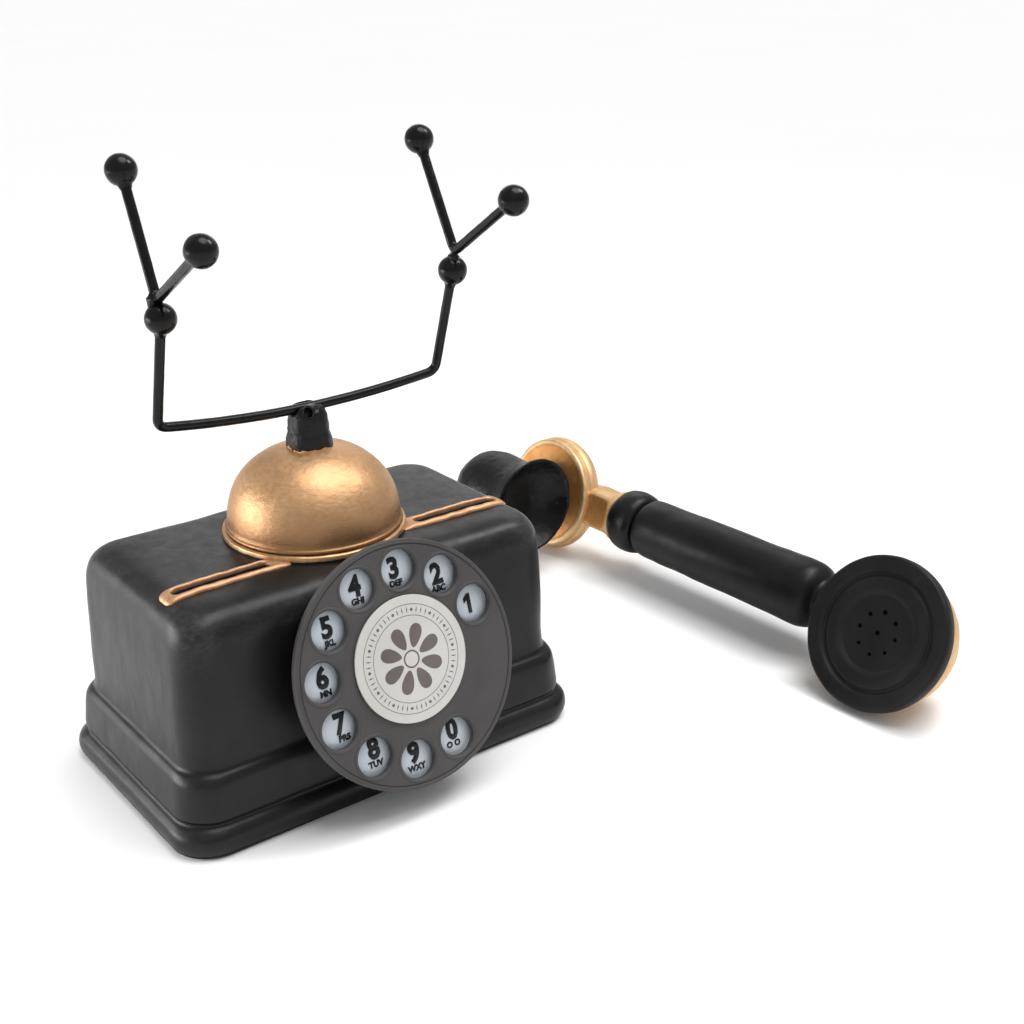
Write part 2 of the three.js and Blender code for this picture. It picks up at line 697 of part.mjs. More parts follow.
function wireFrame() {
  const group = new THREE.Group();
  group.position.z = PIVOT_HEIGHT;
  group.add(crossbar());
  for (const [word, side] of [['left', -1], ['right', 1]]) {
    group.add(ball(`cradle_joint_ball_${word}`, jointCentre(side)));
    group.add(fork(side, word));
    group.add(ball(`cradle_tip_ball_${word}_front`, tipCentre(side, word, -1)));
    group.add(ball(`cradle_tip_ball_${word}_back`, tipCentre(side, word, 1)));
  }
  return group;
}

function cradle() {
  const group = new THREE.Group();
  group.rotation.z = radians(CRADLE_YAW);
  group.add(cradlePost(), cradleKeeper(), wireFrame());
  return group;
}

// ---- dial ---------------------------------------------------------------------------------

function fingerWheel() {
  const rim = [];
  for (let i = 0; i < WHEEL_SEGMENTS; i += 1) {
    const angle = (2 * Math.PI * i) / WHEEL_SEGMENTS;
    rim.push(new THREE.Vector2(Math.cos(angle), Math.sin(angle)).multiplyScalar(WHEEL_RADIUS));
  }
  const shape = new THREE.Shape(rim);
  for (let i = 0; i < FINGER_HOLES; i += 1) {
    const angle = radians(FIRST_HOLE_ANGLE + HOLE_STEP * i);
    const hole = new THREE.Path();
    const x = FINGER_CIRCLE_RADIUS * Math.cos(angle);
    const y = FINGER_CIRCLE_RADIUS * Math.sin(angle);
    hole.absarc(x, y, FINGER_HOLE_RADIUS, 0, 2 * Math.PI, true);
    shape.holes.push(hole);
  }
  const options = { depth: WHEEL_THICKNESS, curveSegments: 8, bevelEnabled: false };
  const disc = new THREE.ExtrudeGeometry(shape, options).translate(0, 0, -WHEEL_THICKNESS);
  const headDepth = SPINDLE_HEAD_THICKNESS + GAP;
  const body = solid(disc)
    .subtract(solid(cylinder(SPINDLE_RADIUS + GAP, -2 * WHEEL_THICKNESS, OVERSHOOT, 24)))
    .subtract(solid(cylinder(SPINDLE_HEAD_RADIUS + GAP, -headDepth, OVERSHOOT, 24)));
  return piece('finger_wheel', body, wheelGrey);
}

function dialLabel() {
  const disc = cylinder(LABEL_RADIUS, 0, LABEL_THICKNESS, 40);
  const mesh = piece('dial_label', solid(disc), labelSilver);
  mesh.position.set(...LABEL_OFFSET, GAP);
  return mesh;
}

function dialSpindle() {
  const body = solid(cylinder(SPINDLE_HEAD_RADIUS, -SPINDLE_HEAD_THICKNESS, 0, 24))
    .add(solid(cylinder(SPINDLE_RADIUS, -SPINDLE_LENGTH, -SPINDLE_HEAD_THICKNESS / 2, 24)));
  return piece('dial_spindle', body, steel);
}

function dialWasher() {
  const front = BUSH_BACK - GAP;
  const back = front - DIAL_WASHER_THICKNESS;
  const body = ringOfMetal(DIAL_WASHER_RADIUS, SPINDLE_RADIUS + GAP, back, front, 20);
  return piece('dial_washer', body, steel);
}

function dialNut() {
  return hexNut('dial_nut', SPINDLE_RADIUS + GAP, BUSH_BACK - DIAL_WASHER_THICKNESS - 2 * GAP);
}

function dialBush() {
  const flangeFront = -WHEEL_THICKNESS - GAP;
  const flangeBack = NUMBER_PLATE_FRONT + GAP;
  const body = solid(cylinder(BUSH_FLANGE_RADIUS, flangeBack, flangeFront, 28))
    .add(solid(cylinder(BUSH_RADIUS, BUSH_BACK, flangeBack + 0.5, 28)))
    .subtract(solid(cylinder(SPINDLE_RADIUS + GAP, BUSH_BACK - OVERSHOOT, 0, 28)));
  return piece('dial_bush', body, brass);
}

function numberPlate() {
  const back = NUMBER_PLATE_FRONT - NUMBER_PLATE_THICKNESS;
  const bore = BUSH_RADIUS + GAP;
  const body = ringOfMetal(NUMBER_PLATE_RADIUS, bore, back, NUMBER_PLATE_FRONT, 44);
  return piece('number_plate', body, plateSilver);
}

// The case is worked out in place, because its wedge is shaped by the housing's front wall.
function dialCase() {
  const rimBack = CASE_FRONT - CASE_RIM_THICKNESS;
  const rim = cylinder(CASE_RIM_RADIUS, rimBack, CASE_FRONT, 40);
  const wedge = cylinder(CASE_WEDGE_RADIUS, -CASE_WEDGE_RADIUS, rimBack + 1, 36);
  const bore = cylinder(BUSH_RADIUS + GAP, 2 * BUSH_BACK, 0, 20);
  const body = solid(dialToWorld(rim))
    .add(solid(dialToWorld(wedge)))
    .subtract(housingSkin(GAP))
    .subtract(solid(dialToWorld(bore)));
  return piece('dial_case', body, blackPaint);
}

function dial() {
  const group = new THREE.Group();
  group.position.copy(DIAL_CENTRE);
  group.rotation.x = radians(90 - DIAL_TILT_BACK);
  group.add(fingerWheel(), dialLabel(), dialSpindle(), dialWasher(), dialNut());
  group.add(dialBush(), numberPlate());
  return group;
}

// ---- handset ------------------------------------------------------------------------------

// Turns a shape made about +Z so that it faces local -X.
function facingForward(geometry) {
  return geometry.rotateY(-Math.PI / 2);
}

// The ear end: a shape made about +Z, with 0 at the cap's face, put in its place.
function atEar(geometry, shift = 0) {
  return solid(facingForward(geometry).translate(-EAR_FRONT, EAR_Y - shift, -EAR_DROP));
}

function tieRodSolid(grow = 0) {
  const radius = TIE_ROD_RADIUS + grow;
  const bar = new THREE.CylinderGeometry(radius, radius, TIE_ROD_LENGTH + 2 * grow, 12);
  return solid(bar.translate(0, TIE_ROD_MIDDLE, 0));
}

function earCupSkin(grow = 0) {
  const front = -EAR_CAP_THICKNESS - GAP + grow;
  const outline = [
    [0, front], [EAR_CUP_RADIUS + grow, front], [EAR_CUP_RADIUS + grow, -9],
    [EAR_CUP_RADIUS - 1.1 + grow, -13], [EAR_CUP_RADIUS - 3.3 + grow, -17.4],
    [EAR_CUP_RADIUS - 5.6 + grow, -21.6], [EAR_CUP_RADIUS - 9 + grow, -25.2 - grow],
    [EAR_CUP_RADIUS - 16, -27.8 - grow], [0, -28.8 - grow],
  ];
  return atEar(turned(outline, 32), EAR_CUP_SHIFT);
}

function handsetGrip() {
  const body = solid(turnedAlongY([
    [0, GRIP_START], [GRIP_THIN_RADIUS - 1.4, GRIP_START],
    [GRIP_THIN_RADIUS - 0.6, GRIP_START - 1.2], [GRIP_THIN_RADIUS, GRIP_START - 3.6],
    [GRIP_THICK_RADIUS, GRIP_SHOULDER], [GRIP_THICK_RADIUS - 0.7, GRIP_SHOULDER - 3.4],
    [GRIP_THICK_RADIUS - 2.4, GRIP_SHOULDER - 6], [GRIP_NECK_RADIUS, GRIP_SHOULDER - 7.6],
    [GRIP_NECK_RADIUS, EAR_Y + 12], [0, EAR_Y + 12],
  ], 24));
  const cut = body
    .subtract(earCupSkin(GAP))
    .subtract(earCapSkin(GAP))
    .subtract(tieRodSolid(GAP));
  return piece('handset_grip', cut, blackPaint);
}

function handsetBead() {
  const start = GRIP_START + GAP;
  const half = (BEAD_END - start) / 2;
  const outline = [[0, start]];
  const steps = 6;
  for (let i = 0; i <= steps; i += 1) {
    const along = -1 + (2 * i) / steps;
    const radius = BEAD_RADIUS * (1 - BEAD_END_LOSS * along ** 4);
    outline.push([radius, start + half * (1 + along)]);
  }
  outline.push([0, BEAD_END]);
  const body = solid(turnedAlongY(outline, 24)).subtract(tieRodSolid(GAP));
  return piece('handset_bead', body, blackPaint);
}

function transmitterSkin(grow = 0) {
  const front = TRANSMITTER_FRONT;
  const r = TRANSMITTER_RADIUS + grow;
  return solid(facingForward(turned([
    [0, front - 0.8 + grow], [r - 3.4, front - 0.8 + grow], [r - 2.6, front + grow],
    [r - 1.5, front + grow], [r - 1, front - 0.8 + grow], [r - 1, front - 3],
    [r - 0.2, front - 3.8], [r, front - 5.6], [r - 0.3, front - 8], [r - 1.6, front - 10.4],
    [r - 5, front - 12.8 - grow], [r - 12, front - 15 - grow], [0, front - 16 - grow],
  ], 32)).translate(0, TRANSMITTER_Y, 0));
}

function transmitterCup() {
  return piece('transmitter_cup', transmitterSkin().subtract(tieRodSolid(GAP)), goldPaint);
}

function handsetNeck() {
  const start = BEAD_END + GAP;
  const end = TRANSMITTER_Y - TRANSMITTER_RADIUS + 6;
  const body = solid(turnedAlongY([
    [0, start], [FLARE_RADIUS, start], [FLARE_RADIUS - 0.6, start + 1.6],
    [NECK_RADIUS, start + 3.6], [NECK_RADIUS, end], [0, end],
  ], 24)).subtract(transmitterSkin(GAP)).subtract(tieRodSolid(GAP));
  return piece('handset_neck', body, goldPaint);
}

function mouthpieceHorn() {
  const mouth = -HORN_LENGTH;
  const outline = [];
  const backSteps = 6;
  for (let i = 0; i <= backSteps; i += 1) {
    const angle = (Math.PI / 2) * (i / backSteps);
    const radius = i === 0 ? 0 : HORN_ELBOW_RADIUS * Math.sin(angle);
    outline.push([radius, HORN_ELBOW_RADIUS * Math.cos(angle)]);
  }
  outline.push([HORN_ELBOW_RADIUS - 0.8, mouth * 0.4], [HORN_ELBOW_RADIUS, mouth * 0.72]);
  outline.push([HORN_MOUTH_RADIUS - 0.4, mouth + 2.2], [HORN_MOUTH_RADIUS, mouth]);
  outline.push([0, mouth]);
  const bowl = solid(turnedAlongY([
    [0, mouth - OVERSHOOT], [HORN_MOUTH_RADIUS - HORN_LIP, mouth - OVERSHOOT],
    [HORN_MOUTH_RADIUS - HORN_LIP, mouth], [HORN_MOUTH_RADIUS - HORN_LIP - 1.6, mouth + 3],
    [12, mouth + 9], [6, mouth + HORN_BOWL_DEPTH], [0, mouth + HORN_BOWL_DEPTH],
  ], 24));
  const stubLength = HORN_REACH - TRANSMITTER_FRONT - GAP;
  const stub = solid(new THREE.CylinderGeometry(HORN_STUB_RADIUS, HORN_STUB_RADIUS, stubLength, 24)
    .rotateZ(Math.PI / 2).translate(stubLength / 2, -HORN_SHIFT, 0));
  const mesh = piece('mouthpiece_horn', solid(turnedAlongY(outline, 28)).add(stub).subtract(bowl),
    blackPaint);
  mesh.position.set(-HORN_REACH, TRANSMITTER_Y + HORN_SHIFT, 0);
  return mesh;
}

function earCup() {
  const inner = EAR_CUP_RADIUS - EAR_CUP_WALL;
  const hollow = atEar(turned([
    [0, OVERSHOOT], [inner, OVERSHOOT], [inner, -9], [inner - 1.6, -14], [inner - 4.4, -19],
    [inner - 9.4, -23], [0, -25.4],
  ], 24), EAR_CUP_SHIFT);
  return piece('ear_cup', earCupSkin().subtract(hollow).subtract(tieRodSolid(GAP)), goldPaint);
}

function earCapSkin(grow = 0) {
  const r = EAR_CAP_RADIUS + grow;
  const back = -EAR_CAP_THICKNESS - grow;
  const round = 0.8;
  return atEar(turned([[0, grow], [r - round, grow], [r, -round], [r, back], [0, back]], 40));
}

// Turned groove, step and shallow dish in the cap's face.
function earCapRelief() {
  const groove = EAR_GROOVE_SHARE * EAR_CAP_RADIUS;
  return atEar(turned([
    [0, OVERSHOOT], [groove, OVERSHOOT], [groove, -1], [groove - 1.2, -1], [groove - 1.6, -0.3],
    [0.55 * EAR_CAP_RADIUS, -0.5], [0.42 * EAR_CAP_RADIUS, -1.6], [0, -1.6],
  ], 32));
}

function earCap() {
  const drill = () => cylinder(SOUND_HOLE_RADIUS, -2 * EAR_CAP_THICKNESS, OVERSHOOT, 6);
  let body = earCapSkin().subtract(earCapRelief()).subtract(atEar(drill()));
  for (let i = 0; i < SOUND_HOLES; i += 1) {
    const angle = (2 * Math.PI * (i + 0.5)) / SOUND_HOLES;
    const x = SOUND_CIRCLE_RADIUS * Math.cos(angle);
    const y = SOUND_CIRCLE_RADIUS * Math.sin(angle);
    body = body.subtract(atEar(drill().translate(x, y, 0)));
  }
  return piece('ear_cap', body, blackPaint);
}

function tieRod() {
  return piece('handset_tie_rod', tieRodSolid(), steel);
}

function handset() {
  const group = new THREE.Group();
  group.position.copy(HANDSET_PLACE);
  group.rotation.set(0, radians(HANDSET_ROLL), radians(HANDSET_YAW), 'ZYX');
  group.add(handsetGrip(), handsetBead(), tieRod(), earCup(), earCap());
  const transmitterEnd = new THREE.Group();
  transmitterEnd.rotation.y = radians(TRANSMITTER_TWIST);
  transmitterEnd.add(handsetNeck(), transmitterCup(), mouthpieceHorn());
  group.add(transmitterEnd);
  return group;
}

// ---- assembly -----------------------------------------------------------------------------

const telephone = new THREE.Group();
telephone.add(housing(), basePlate(), basePad(), ...baseScrews(), coinPlug());
telephone.add(slotTrim('slot_trim_left', -1), slotTrim('slot_trim_right', 1));
telephone.add(gongRing(), gong(), gongStud(), gongWasher(), gongNut());
telephone.add(cradle(), dialCase(), dial(), handset());

export default telephone;
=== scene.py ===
"""Decorative cradle telephone with two coin slots: looks, lights and camera.

Lengths are in millimetres until mesh() or from_curve() turns them into metres. The frame is the
CAD frame: origin in the middle of the base, +Z up, the dial faces -Y.
"""

import math

import bmesh
import bpy
from mathutils import Matrix, Vector, noise


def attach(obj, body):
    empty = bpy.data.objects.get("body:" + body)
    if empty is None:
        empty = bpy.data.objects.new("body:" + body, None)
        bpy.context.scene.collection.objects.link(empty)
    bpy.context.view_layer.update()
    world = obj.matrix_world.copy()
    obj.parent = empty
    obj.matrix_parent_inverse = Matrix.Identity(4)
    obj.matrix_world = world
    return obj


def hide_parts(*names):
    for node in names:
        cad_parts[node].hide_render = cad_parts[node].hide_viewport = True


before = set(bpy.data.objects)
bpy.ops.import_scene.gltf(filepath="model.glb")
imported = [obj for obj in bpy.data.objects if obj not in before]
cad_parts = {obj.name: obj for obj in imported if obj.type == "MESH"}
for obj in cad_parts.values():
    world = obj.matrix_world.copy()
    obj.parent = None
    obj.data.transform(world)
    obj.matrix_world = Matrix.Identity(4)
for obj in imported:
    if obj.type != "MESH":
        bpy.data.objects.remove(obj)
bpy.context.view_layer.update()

MM = 0.001
TURN = 2 * math.pi
SAME_POINT = 1e-6                       # metres
noise.seed_set(1)                       # without a seed, noise_vector() differs from run to run


# ---- driving dimensions, as in the CAD where it has them ----

BASE_HALF_WIDTH, BASE_HALF_DEPTH, BASE_CORNER = 77.8, 48.7, 14
HOUSING_TOP = 79.2
# (height, inset from the widest outline) from the foot to the crown
HOUSING_PROFILE = [
    (0.3, 1.6), (1.6, 0.6), (4.6, 0), (7.4, 0.5), (9.2, 1.9), (10.5, 3.2), (12.2, 2.6), (17, 2.9),
    (22.0, 3.4), (24.4, 3.9), (26.2, 5.0), (27.4, 6.2), (29.6, 6.6), (45, 7.0), (64, 7.7),
    (70.8, 8.4), (75.0, 10.2), (77.4, 12.9), (78.6, 16.6), (79.1, 24), (79.2, 34),
]
PLATE_HALF_WIDTH, PLATE_HALF_DEPTH, PLATE_CORNER = 72.0, 42.9, 9
PLUG_X, PLUG_HOLE_RADIUS = 36, 19.2
SLOT_Y, SLOT_INNER, SLOT_OUTER, SLOT_WIDTH = -18.8, 28.6, 60.9, 3
TRIM_INNER, TRIM_OUTER, TRIM_WIDTH = 24, 64.9, 8.2
RING_TOP = 81.3
GONG_RADIUS, GONG_BOTTOM, GONG_HEIGHT, GONG_ROUNDNESS = 29.3, 81.6, 27.2, 2.25
PIVOT_HEIGHT, CRADLE_YAW, CRADLE_LEAN = 121.7, -2.6, 15.1
ROD_RADIUS, BALL_RADIUS = 1.65, 4.9
CROSSBAR_HALF, CROSSBAR_SAG, CROSSBAR_SKEW, CROSSBAR_BEND = 50.4, 3.7, -1.4, 3.4
LEG_SPREAD, LEG_HEIGHT = 50.9, 41.4
FORK_VERTEX = {"left": (3, 4.6), "right": (0, 6.6)}
FORK_TURN = {"left": 0, "right": -2.5}
FORK_BEND = 3
TIP_SPREAD, TIP_REACH, TIP_HEIGHT = 51.5, 27.8, 76.3
KEEPER_RADIUS = 2.3
DIAL_CENTRE, DIAL_TILT_BACK = (0, -55.3, 49.3), 17.2
WHEEL_RADIUS, WHEEL_THICKNESS = 40.5, 2.6
HOLE_RADIUS, HOLE_CIRCLE, FIRST_HOLE, HOLE_STEP = 6.3, 30.9, 23.4, 30
LABEL_RADIUS, LABEL_OFFSET, LABEL_FRONT = 20.6, (0.8, 1.8), 1.0
PLATE_FRONT, NUMBER_PLATE_RADIUS, NUMBER_PLATE_BORE = -4.2, 37.6, 5.2
CASE_FRONT, CASE_RADIUS, CASE_WEDGE_RADIUS, CASE_BACK = -6.1, 36, 30, -24
HANDSET_PLACE, HANDSET_YAW, HANDSET_ROLL, END_TWIST = (177.9, -13.4, 23.35), 2.75, 27, -12
EAR_Y, EAR_FRONT, EAR_DROP, EAR_CAP_RADIUS = -93.3, 16.6, 2.7, 29
EAR_CUP_RADIUS, EAR_CUP_SHIFT = 26, 1.8
END_Y, END_RADIUS, END_FRONT = 91.8, 25.3, 11.2
HORN_REACH, HORN_SHIFT = 39.2, 2.5


def rotation(degrees, axis):
    return Matrix.Rotation(math.radians(degrees), 4, axis)


def at(*place):
    return Matrix.Translation(place)


HERE = Matrix.Identity(4)
DIAL = at(*DIAL_CENTRE) @ rotation(90 - DIAL_TILT_BACK, "X")
CRADLE = rotation(CRADLE_YAW, "Z") @ at(0, 0, PIVOT_HEIGHT)
WIRES = CRADLE @ rotation(CRADLE_LEAN, "X")
HANDSET = at(*HANDSET_PLACE) @ rotation(HANDSET_YAW, "Z") @ rotation(HANDSET_ROLL, "Y")
HANDSET_END = HANDSET @ rotation(END_TWIST, "Y")
FORWARD = rotation(-90, "Y")            # turns a shape made about +Z to face local -X
ALONG = rotation(-90, "X")              # turns a shape made about +Z to run along local +Y
EAR = HANDSET @ at(-EAR_FRONT, EAR_Y, -EAR_DROP) @ FORWARD
END = HANDSET_END @ at(0, END_Y, 0) @ FORWARD


# ---- mesh helpers ----

def mesh(name, verts, faces, place=HERE, sharp=40):
    """A smooth-shaded object from millimetre points, moved by place."""
    data = bpy.data.meshes.new(name)
    data.from_pydata([(place @ Vector(v)) * MM for v in verts], [], faces)
    data.validate()
    return tidy(placed(name, data), sharp)


def placed(name, data):
    """A new object in the scene."""
    found = bpy.data.objects.new(name, data)
    bpy.context.scene.collection.objects.link(found)
    return found


def shade(piece, sharp):
    piece.data.shade_smooth()
    piece.data.set_sharp_from_angle(angle=math.radians(sharp))
    return piece


def tidy(piece, sharp):
    """Merges points that lie together and turns all faces outward."""
    edit = bmesh.new()
    edit.from_mesh(piece.data)
    bmesh.ops.remove_doubles(edit, verts=edit.verts, dist=SAME_POINT)
    bmesh.ops.recalc_face_normals(edit, faces=edit.faces)
    edit.to_mesh(piece.data)
    edit.free()
    return shade(piece, sharp)


def smooth_line(points, steps=5):
    """Centripetal Catmull-Rom line through points."""
    points = [Vector(p) for p in points]

    def between(p, q, start, end, t):
        return p + (q - p) * ((t - start) / (end - start))

    found = []
    for i in range(len(points) - 1):
        b, c = points[i], points[i + 1]
        a = points[i - 1] if i else b * 2 - c
        d = points[i + 2] if i + 2 < len(points) else c * 2 - b
        knots = [0.0]
        for p, q in ((a, b), (b, c), (c, d)):
            knots.append(knots[-1] + (q - p).length ** 0.5)
        for k in range(steps):
            t = knots[1] + (knots[2] - knots[1]) * k / steps
            low = between(a, b, knots[0], knots[1], t)
            middle = between(b, c, knots[1], knots[2], t)
            high = between(c, d, knots[2], knots[3], t)
            low = between(low, middle, knots[0], knots[2], t)
            high = between(middle, high, knots[1], knots[3], t)
            found.append(between(low, high, knots[1], knots[2], t))
    found.append(points[-1])
    return found


def smooth_outline(points):
    """The same line for a lathe: no point lies past the axis."""
    return [(max(p[0], 0.0), p[1]) for p in smooth_line(points)]


def loft(name, rings, place=HERE, sharp=40, capped=True):
    """Skin over rings of equal count, with flat ends if capped."""
    count = len(rings[0])
    verts = [p for ring in rings for p in ring]
    faces = [(r * count + i, r * count + (i + 1) % count,
              (r + 1) * count + (i + 1) % count, (r + 1) * count + i)
             for r in range(len(rings) - 1) for i in range(count)]
    if capped:
        faces.append(tuple(range(count)))
        faces.append(tuple(len(verts) - count + i for i in range(count)))
    return mesh(name, verts, faces, place, sharp)


def circle(radius, count, height=0.0):
    """Points round the Z axis."""
    return [(radius * math.cos(TURN * i / count), radius * math.sin(TURN * i / count), height)
            for i in range(count)]


def lathe(name, outline, place=HERE, steps=96, sharp=40):
    """Turned solid about +Z from (radius, height) pairs. An end off the axis is closed flat."""
    rings = [circle(r, steps, z) for r, z in outline]
    return loft(name, rings, place, sharp, capped=outline[0] != outline[-1])


def band(name, near, far, low, top, place, steps=128):
    """Flat ring about +Z between two radii and two heights."""
    return lathe(name, [(near, low), (near, top), (far, top), (far, low), (near, low)], place,
                 steps)


def toward(start, end, reach):
    """The point at a distance from start, on the way to end."""
    return start + (end - start).normalized() * reach


def rounded(points, radius, steps=4):
    """The outline with each inner corner rounded, as far as its sides allow."""
    points = [Vector(p) for p in points]
    found = [points[0]]
    for a, b, c in zip(points, points[1:], points[2:]):
        cut = min(radius, (a - b).length * 0.45, (c - b).length * 0.45)
        start, end = toward(b, a, cut), toward(b, c, cut)
        for k in range(steps + 1):
            t = k / steps
            found.append(start.lerp(b, t).lerp(b.lerp(end, t), t))
    found.append(points[-1])
    return [tuple(p) for p in found]


def spoke(angle):
    """The directions outward and along a circle at an angle."""
    out = Vector((math.cos(angle), math.sin(angle)))
    return out, Vector((-out.y, out.x))


def rounded_rectangle(half_width, half_depth, corner, per_corner=12, per_side=(40, 24)):
    """Points round a rounded rectangle, with the straight sides divided as well."""
    def arc(n):
        side_x, side_y = ((1, 1), (-1, 1), (-1, -1), (1, -1))[n]
        middle = Vector((side_x * (half_width - corner), side_y * (half_depth - corner)))
        angles = [math.radians(90 * n + 90 * i / per_corner) for i in range(per_corner + 1)]
        return [middle + corner * spoke(a)[0] for a in angles]

    points = []
    for n in range(4):
        points += arc(n)
        last, ahead, parts = points[-1], arc((n + 1) % 4)[0], per_side[n % 2]
        points += [last.lerp(ahead, k / parts) for k in range(1, parts)]
    return points


def sweep(name, path, radius, place, sides=24):
    """Round bar along a path, with flat ends."""
    path = [Vector(p) for p in path]
    ahead = [(path[min(i + 1, len(path) - 1)] - path[max(i - 1, 0)]).normalized()
             for i in range(len(path))]
    side = ahead[0].orthogonal().normalized()
    rings = []
    for point, direction in zip(path, ahead):
        side = (side - direction * side.dot(direction)).normalized()
        other = direction.cross(side)
        rings.append([point + radius * (math.cos(TURN * i / sides) * side
                                        + math.sin(TURN * i / sides) * other)
                      for i in range(sides)])
    return loft(name, rings, place)


def bezier(a, b, c, steps):
    """Points of the curve from a to c that bends toward b."""
    return [a.lerp(b, k / steps).lerp(b.lerp(c, k / steps), k / steps) for k in range(steps + 1)]


def evaluated(piece):
    """A new mesh of the piece as its modifiers or its curve settings make it."""
    bpy.context.view_layer.update()
    graph = bpy.context.evaluated_depsgraph_get()
    return bpy.data.meshes.new_from_object(piece.evaluated_get(graph))


def baked(piece, sharp):
    """Applies the piece's modifiers to its mesh."""
    data = evaluated(piece)
    piece.modifiers.clear()
    piece.data = data
    return shade(piece, sharp)


def cut(piece, *tools, sharp=40):
    """Cuts the tools out of the piece and removes them."""
    for tool in tools:
        step = piece.modifiers.new("cut", "BOOLEAN")
        step.operation = "DIFFERENCE"
        step.solver = "EXACT"
        step.object = tool
    baked(piece, sharp)
    for tool in tools:
        bpy.data.objects.remove(tool)


def joined(piece, *others):
    """Joins the others into the piece."""
    with bpy.context.temp_override(active_object=piece, object=piece,
                                   selected_editable_objects=[piece, *others]):
        bpy.ops.object.join()


def remeshed(piece, voxel, smooth):
    """Melts joined or cut shapes into one skin, smoothed that many times."""
    step = piece.modifiers.new("remesh", "REMESH")
    step.mode = "VOXEL"
    step.voxel_size = voxel * MM
    soften = piece.modifiers.new("soften", "SMOOTH")
    soften.iterations = smooth
    soften.factor = 0.5
    baked(piece, 60)


def uneven(piece, size, depth, seed, only=None):
    """Hand-cast waviness: pushes the surface inward by up to depth, in lumps of about size."""
    shift = Vector((seed * 7.31, seed * 3.17, seed * 5.53))
    normals = [v.normal.copy() for v in piece.data.vertices]
    for v, normal in zip(piece.data.vertices, normals):
        if only and not only(v.co / MM):
            continue
        value = 0.5 + 0.5 * noise.fractal(v.co / (size * MM) + shift, 0.8, 2.0, 3)
        v.co -= normal * (max(0.0, min(1.0, value)) * depth * MM)
    piece.data.update()


# ---- materials ----

class Paint:
    """A procedural material, built from short steps. All textures use object coordinates."""

    def __init__(self, name, roughness=0.5, metallic=0.0, coat=0.0, coat_roughness=0.2, sheen=0.0,
                 gloss=0.5):
        self.made = bpy.data.materials.new(name)
        self.made.use_nodes = True
        self.tree = self.made.node_tree
        self.shader = self.tree.nodes["Principled BSDF"]
        for socket, value in (("Roughness", roughness), ("Metallic", metallic),
                              ("Coat Weight", coat), ("Coat Roughness", coat_roughness),
                              ("Sheen Weight", sheen), ("Specular IOR Level", gloss)):
            self.set(socket, value)
        self.where = self.node("ShaderNodeTexCoord").outputs["Object"]
        self.normal = None

    def put(self, target, value):
        """Links another socket to the target, or sets a constant."""
        if isinstance(value, bpy.types.NodeSocket):
            self.tree.links.new(value, target)
        else:
            target.default_value = value

    def set(self, socket, value):
        self.put(self.shader.inputs[socket], value)

    def colour(self, source):
        self.set("Base Color", source)

    def rough(self, source, low, high, full=0.75):
        """Roughness from low to high, following a grain."""
        self.set("Roughness", self.ramp(source, [(0.3, low), (full, high)]))

    def node(self, kind, inputs=(), **settings):
        """A new node with its settings; its inputs are sockets or constants."""
        found = self.tree.nodes.new(kind)
        for key, value in settings.items():
            setattr(found, key, value)
        for key, value in dict(inputs).items():
            self.put(found.inputs[key], value)
        return found

    def stretched(self, scale, turn=(0, 0, 0)):
        return self.node("ShaderNodeMapping", {
            "Vector": self.where, "Scale": scale,
            "Rotation": [math.radians(a) for a in turn]}).outputs["Vector"]

    def noise(self, size, detail=3.0, rough=0.55, where=None, distortion=0.0):
        """Grain of about size millimetres."""
        return self.node("ShaderNodeTexNoise", {
            "Vector": where or self.where, "Scale": 1 / (size * MM), "Detail": detail,
            "Roughness": rough, "Distortion": distortion}).outputs["Fac"]

    def spots(self, size, radius):
        """1 in small round spots, 0 elsewhere."""
        made = self.node("ShaderNodeTexVoronoi", {"Vector": self.where, "Scale": 1 / (size * MM)})
        return self.ramp(made.outputs["Distance"], [(0, 1), (radius, 0)])

    def ramp(self, source, stops):
        """Maps a value through stops of (position, value or colour)."""
        made = self.node("ShaderNodeValToRGB", {"Fac": source})
        line = made.color_ramp.elements
        while len(line) < len(stops):
            line.new(0.5)
        for element, (position, value) in zip(line, stops):
            element.position = position
            colour = value if hasattr(value, "__len__") else (value, value, value)
            element.color = (*colour, 1)
        return made.outputs["Color"]

    def maths(self, kind, a, b):
        return self.node("ShaderNodeMath", {0: a, 1: b}, operation=kind).outputs[0]

    def mix(self, share, a, b):
        """From a to b by share. Each is a socket or a colour."""
        a, b = ((*c, 1) if hasattr(c, "__len__") else c for c in (a, b))
        return self.node("ShaderNodeMix", {"Factor": share, 6: a, 7: b},
                         data_type="RGBA").outputs[2]

    def bulges(self, start, full):
        """0 on flat and hollow places, rising to 1 along edges and corners."""
        pointiness = self.node("ShaderNodeNewGeometry").outputs["Pointiness"]
        return self.ramp(pointiness, [(start, 0), (full, 1)])

    def bump(self, height, depth, strength=1.0):
        """Adds relief of about depth millimetres."""
        made = self.node("ShaderNodeBump", {
            "Distance": depth * MM, "Strength": strength, "Height": height})
        if self.normal:
            self.put(made.inputs["Normal"], self.normal)
        self.normal = made.outputs["Normal"]
        self.set("Normal", self.normal)

    def height(self):
        """The height above the floor, in metres, as a value."""
        return self.node("ShaderNodeSeparateXYZ", {"Vector": self.where}).outputs["Z"]


# the first tone lightens bulging edges: partly rubbed paint, partly a painted highlight
RUBBED_AND_SHEEN, SPECKLED = (0.041, 0.041, 0.042), (0.04, 0.04, 0.042)     # tones on the black paint


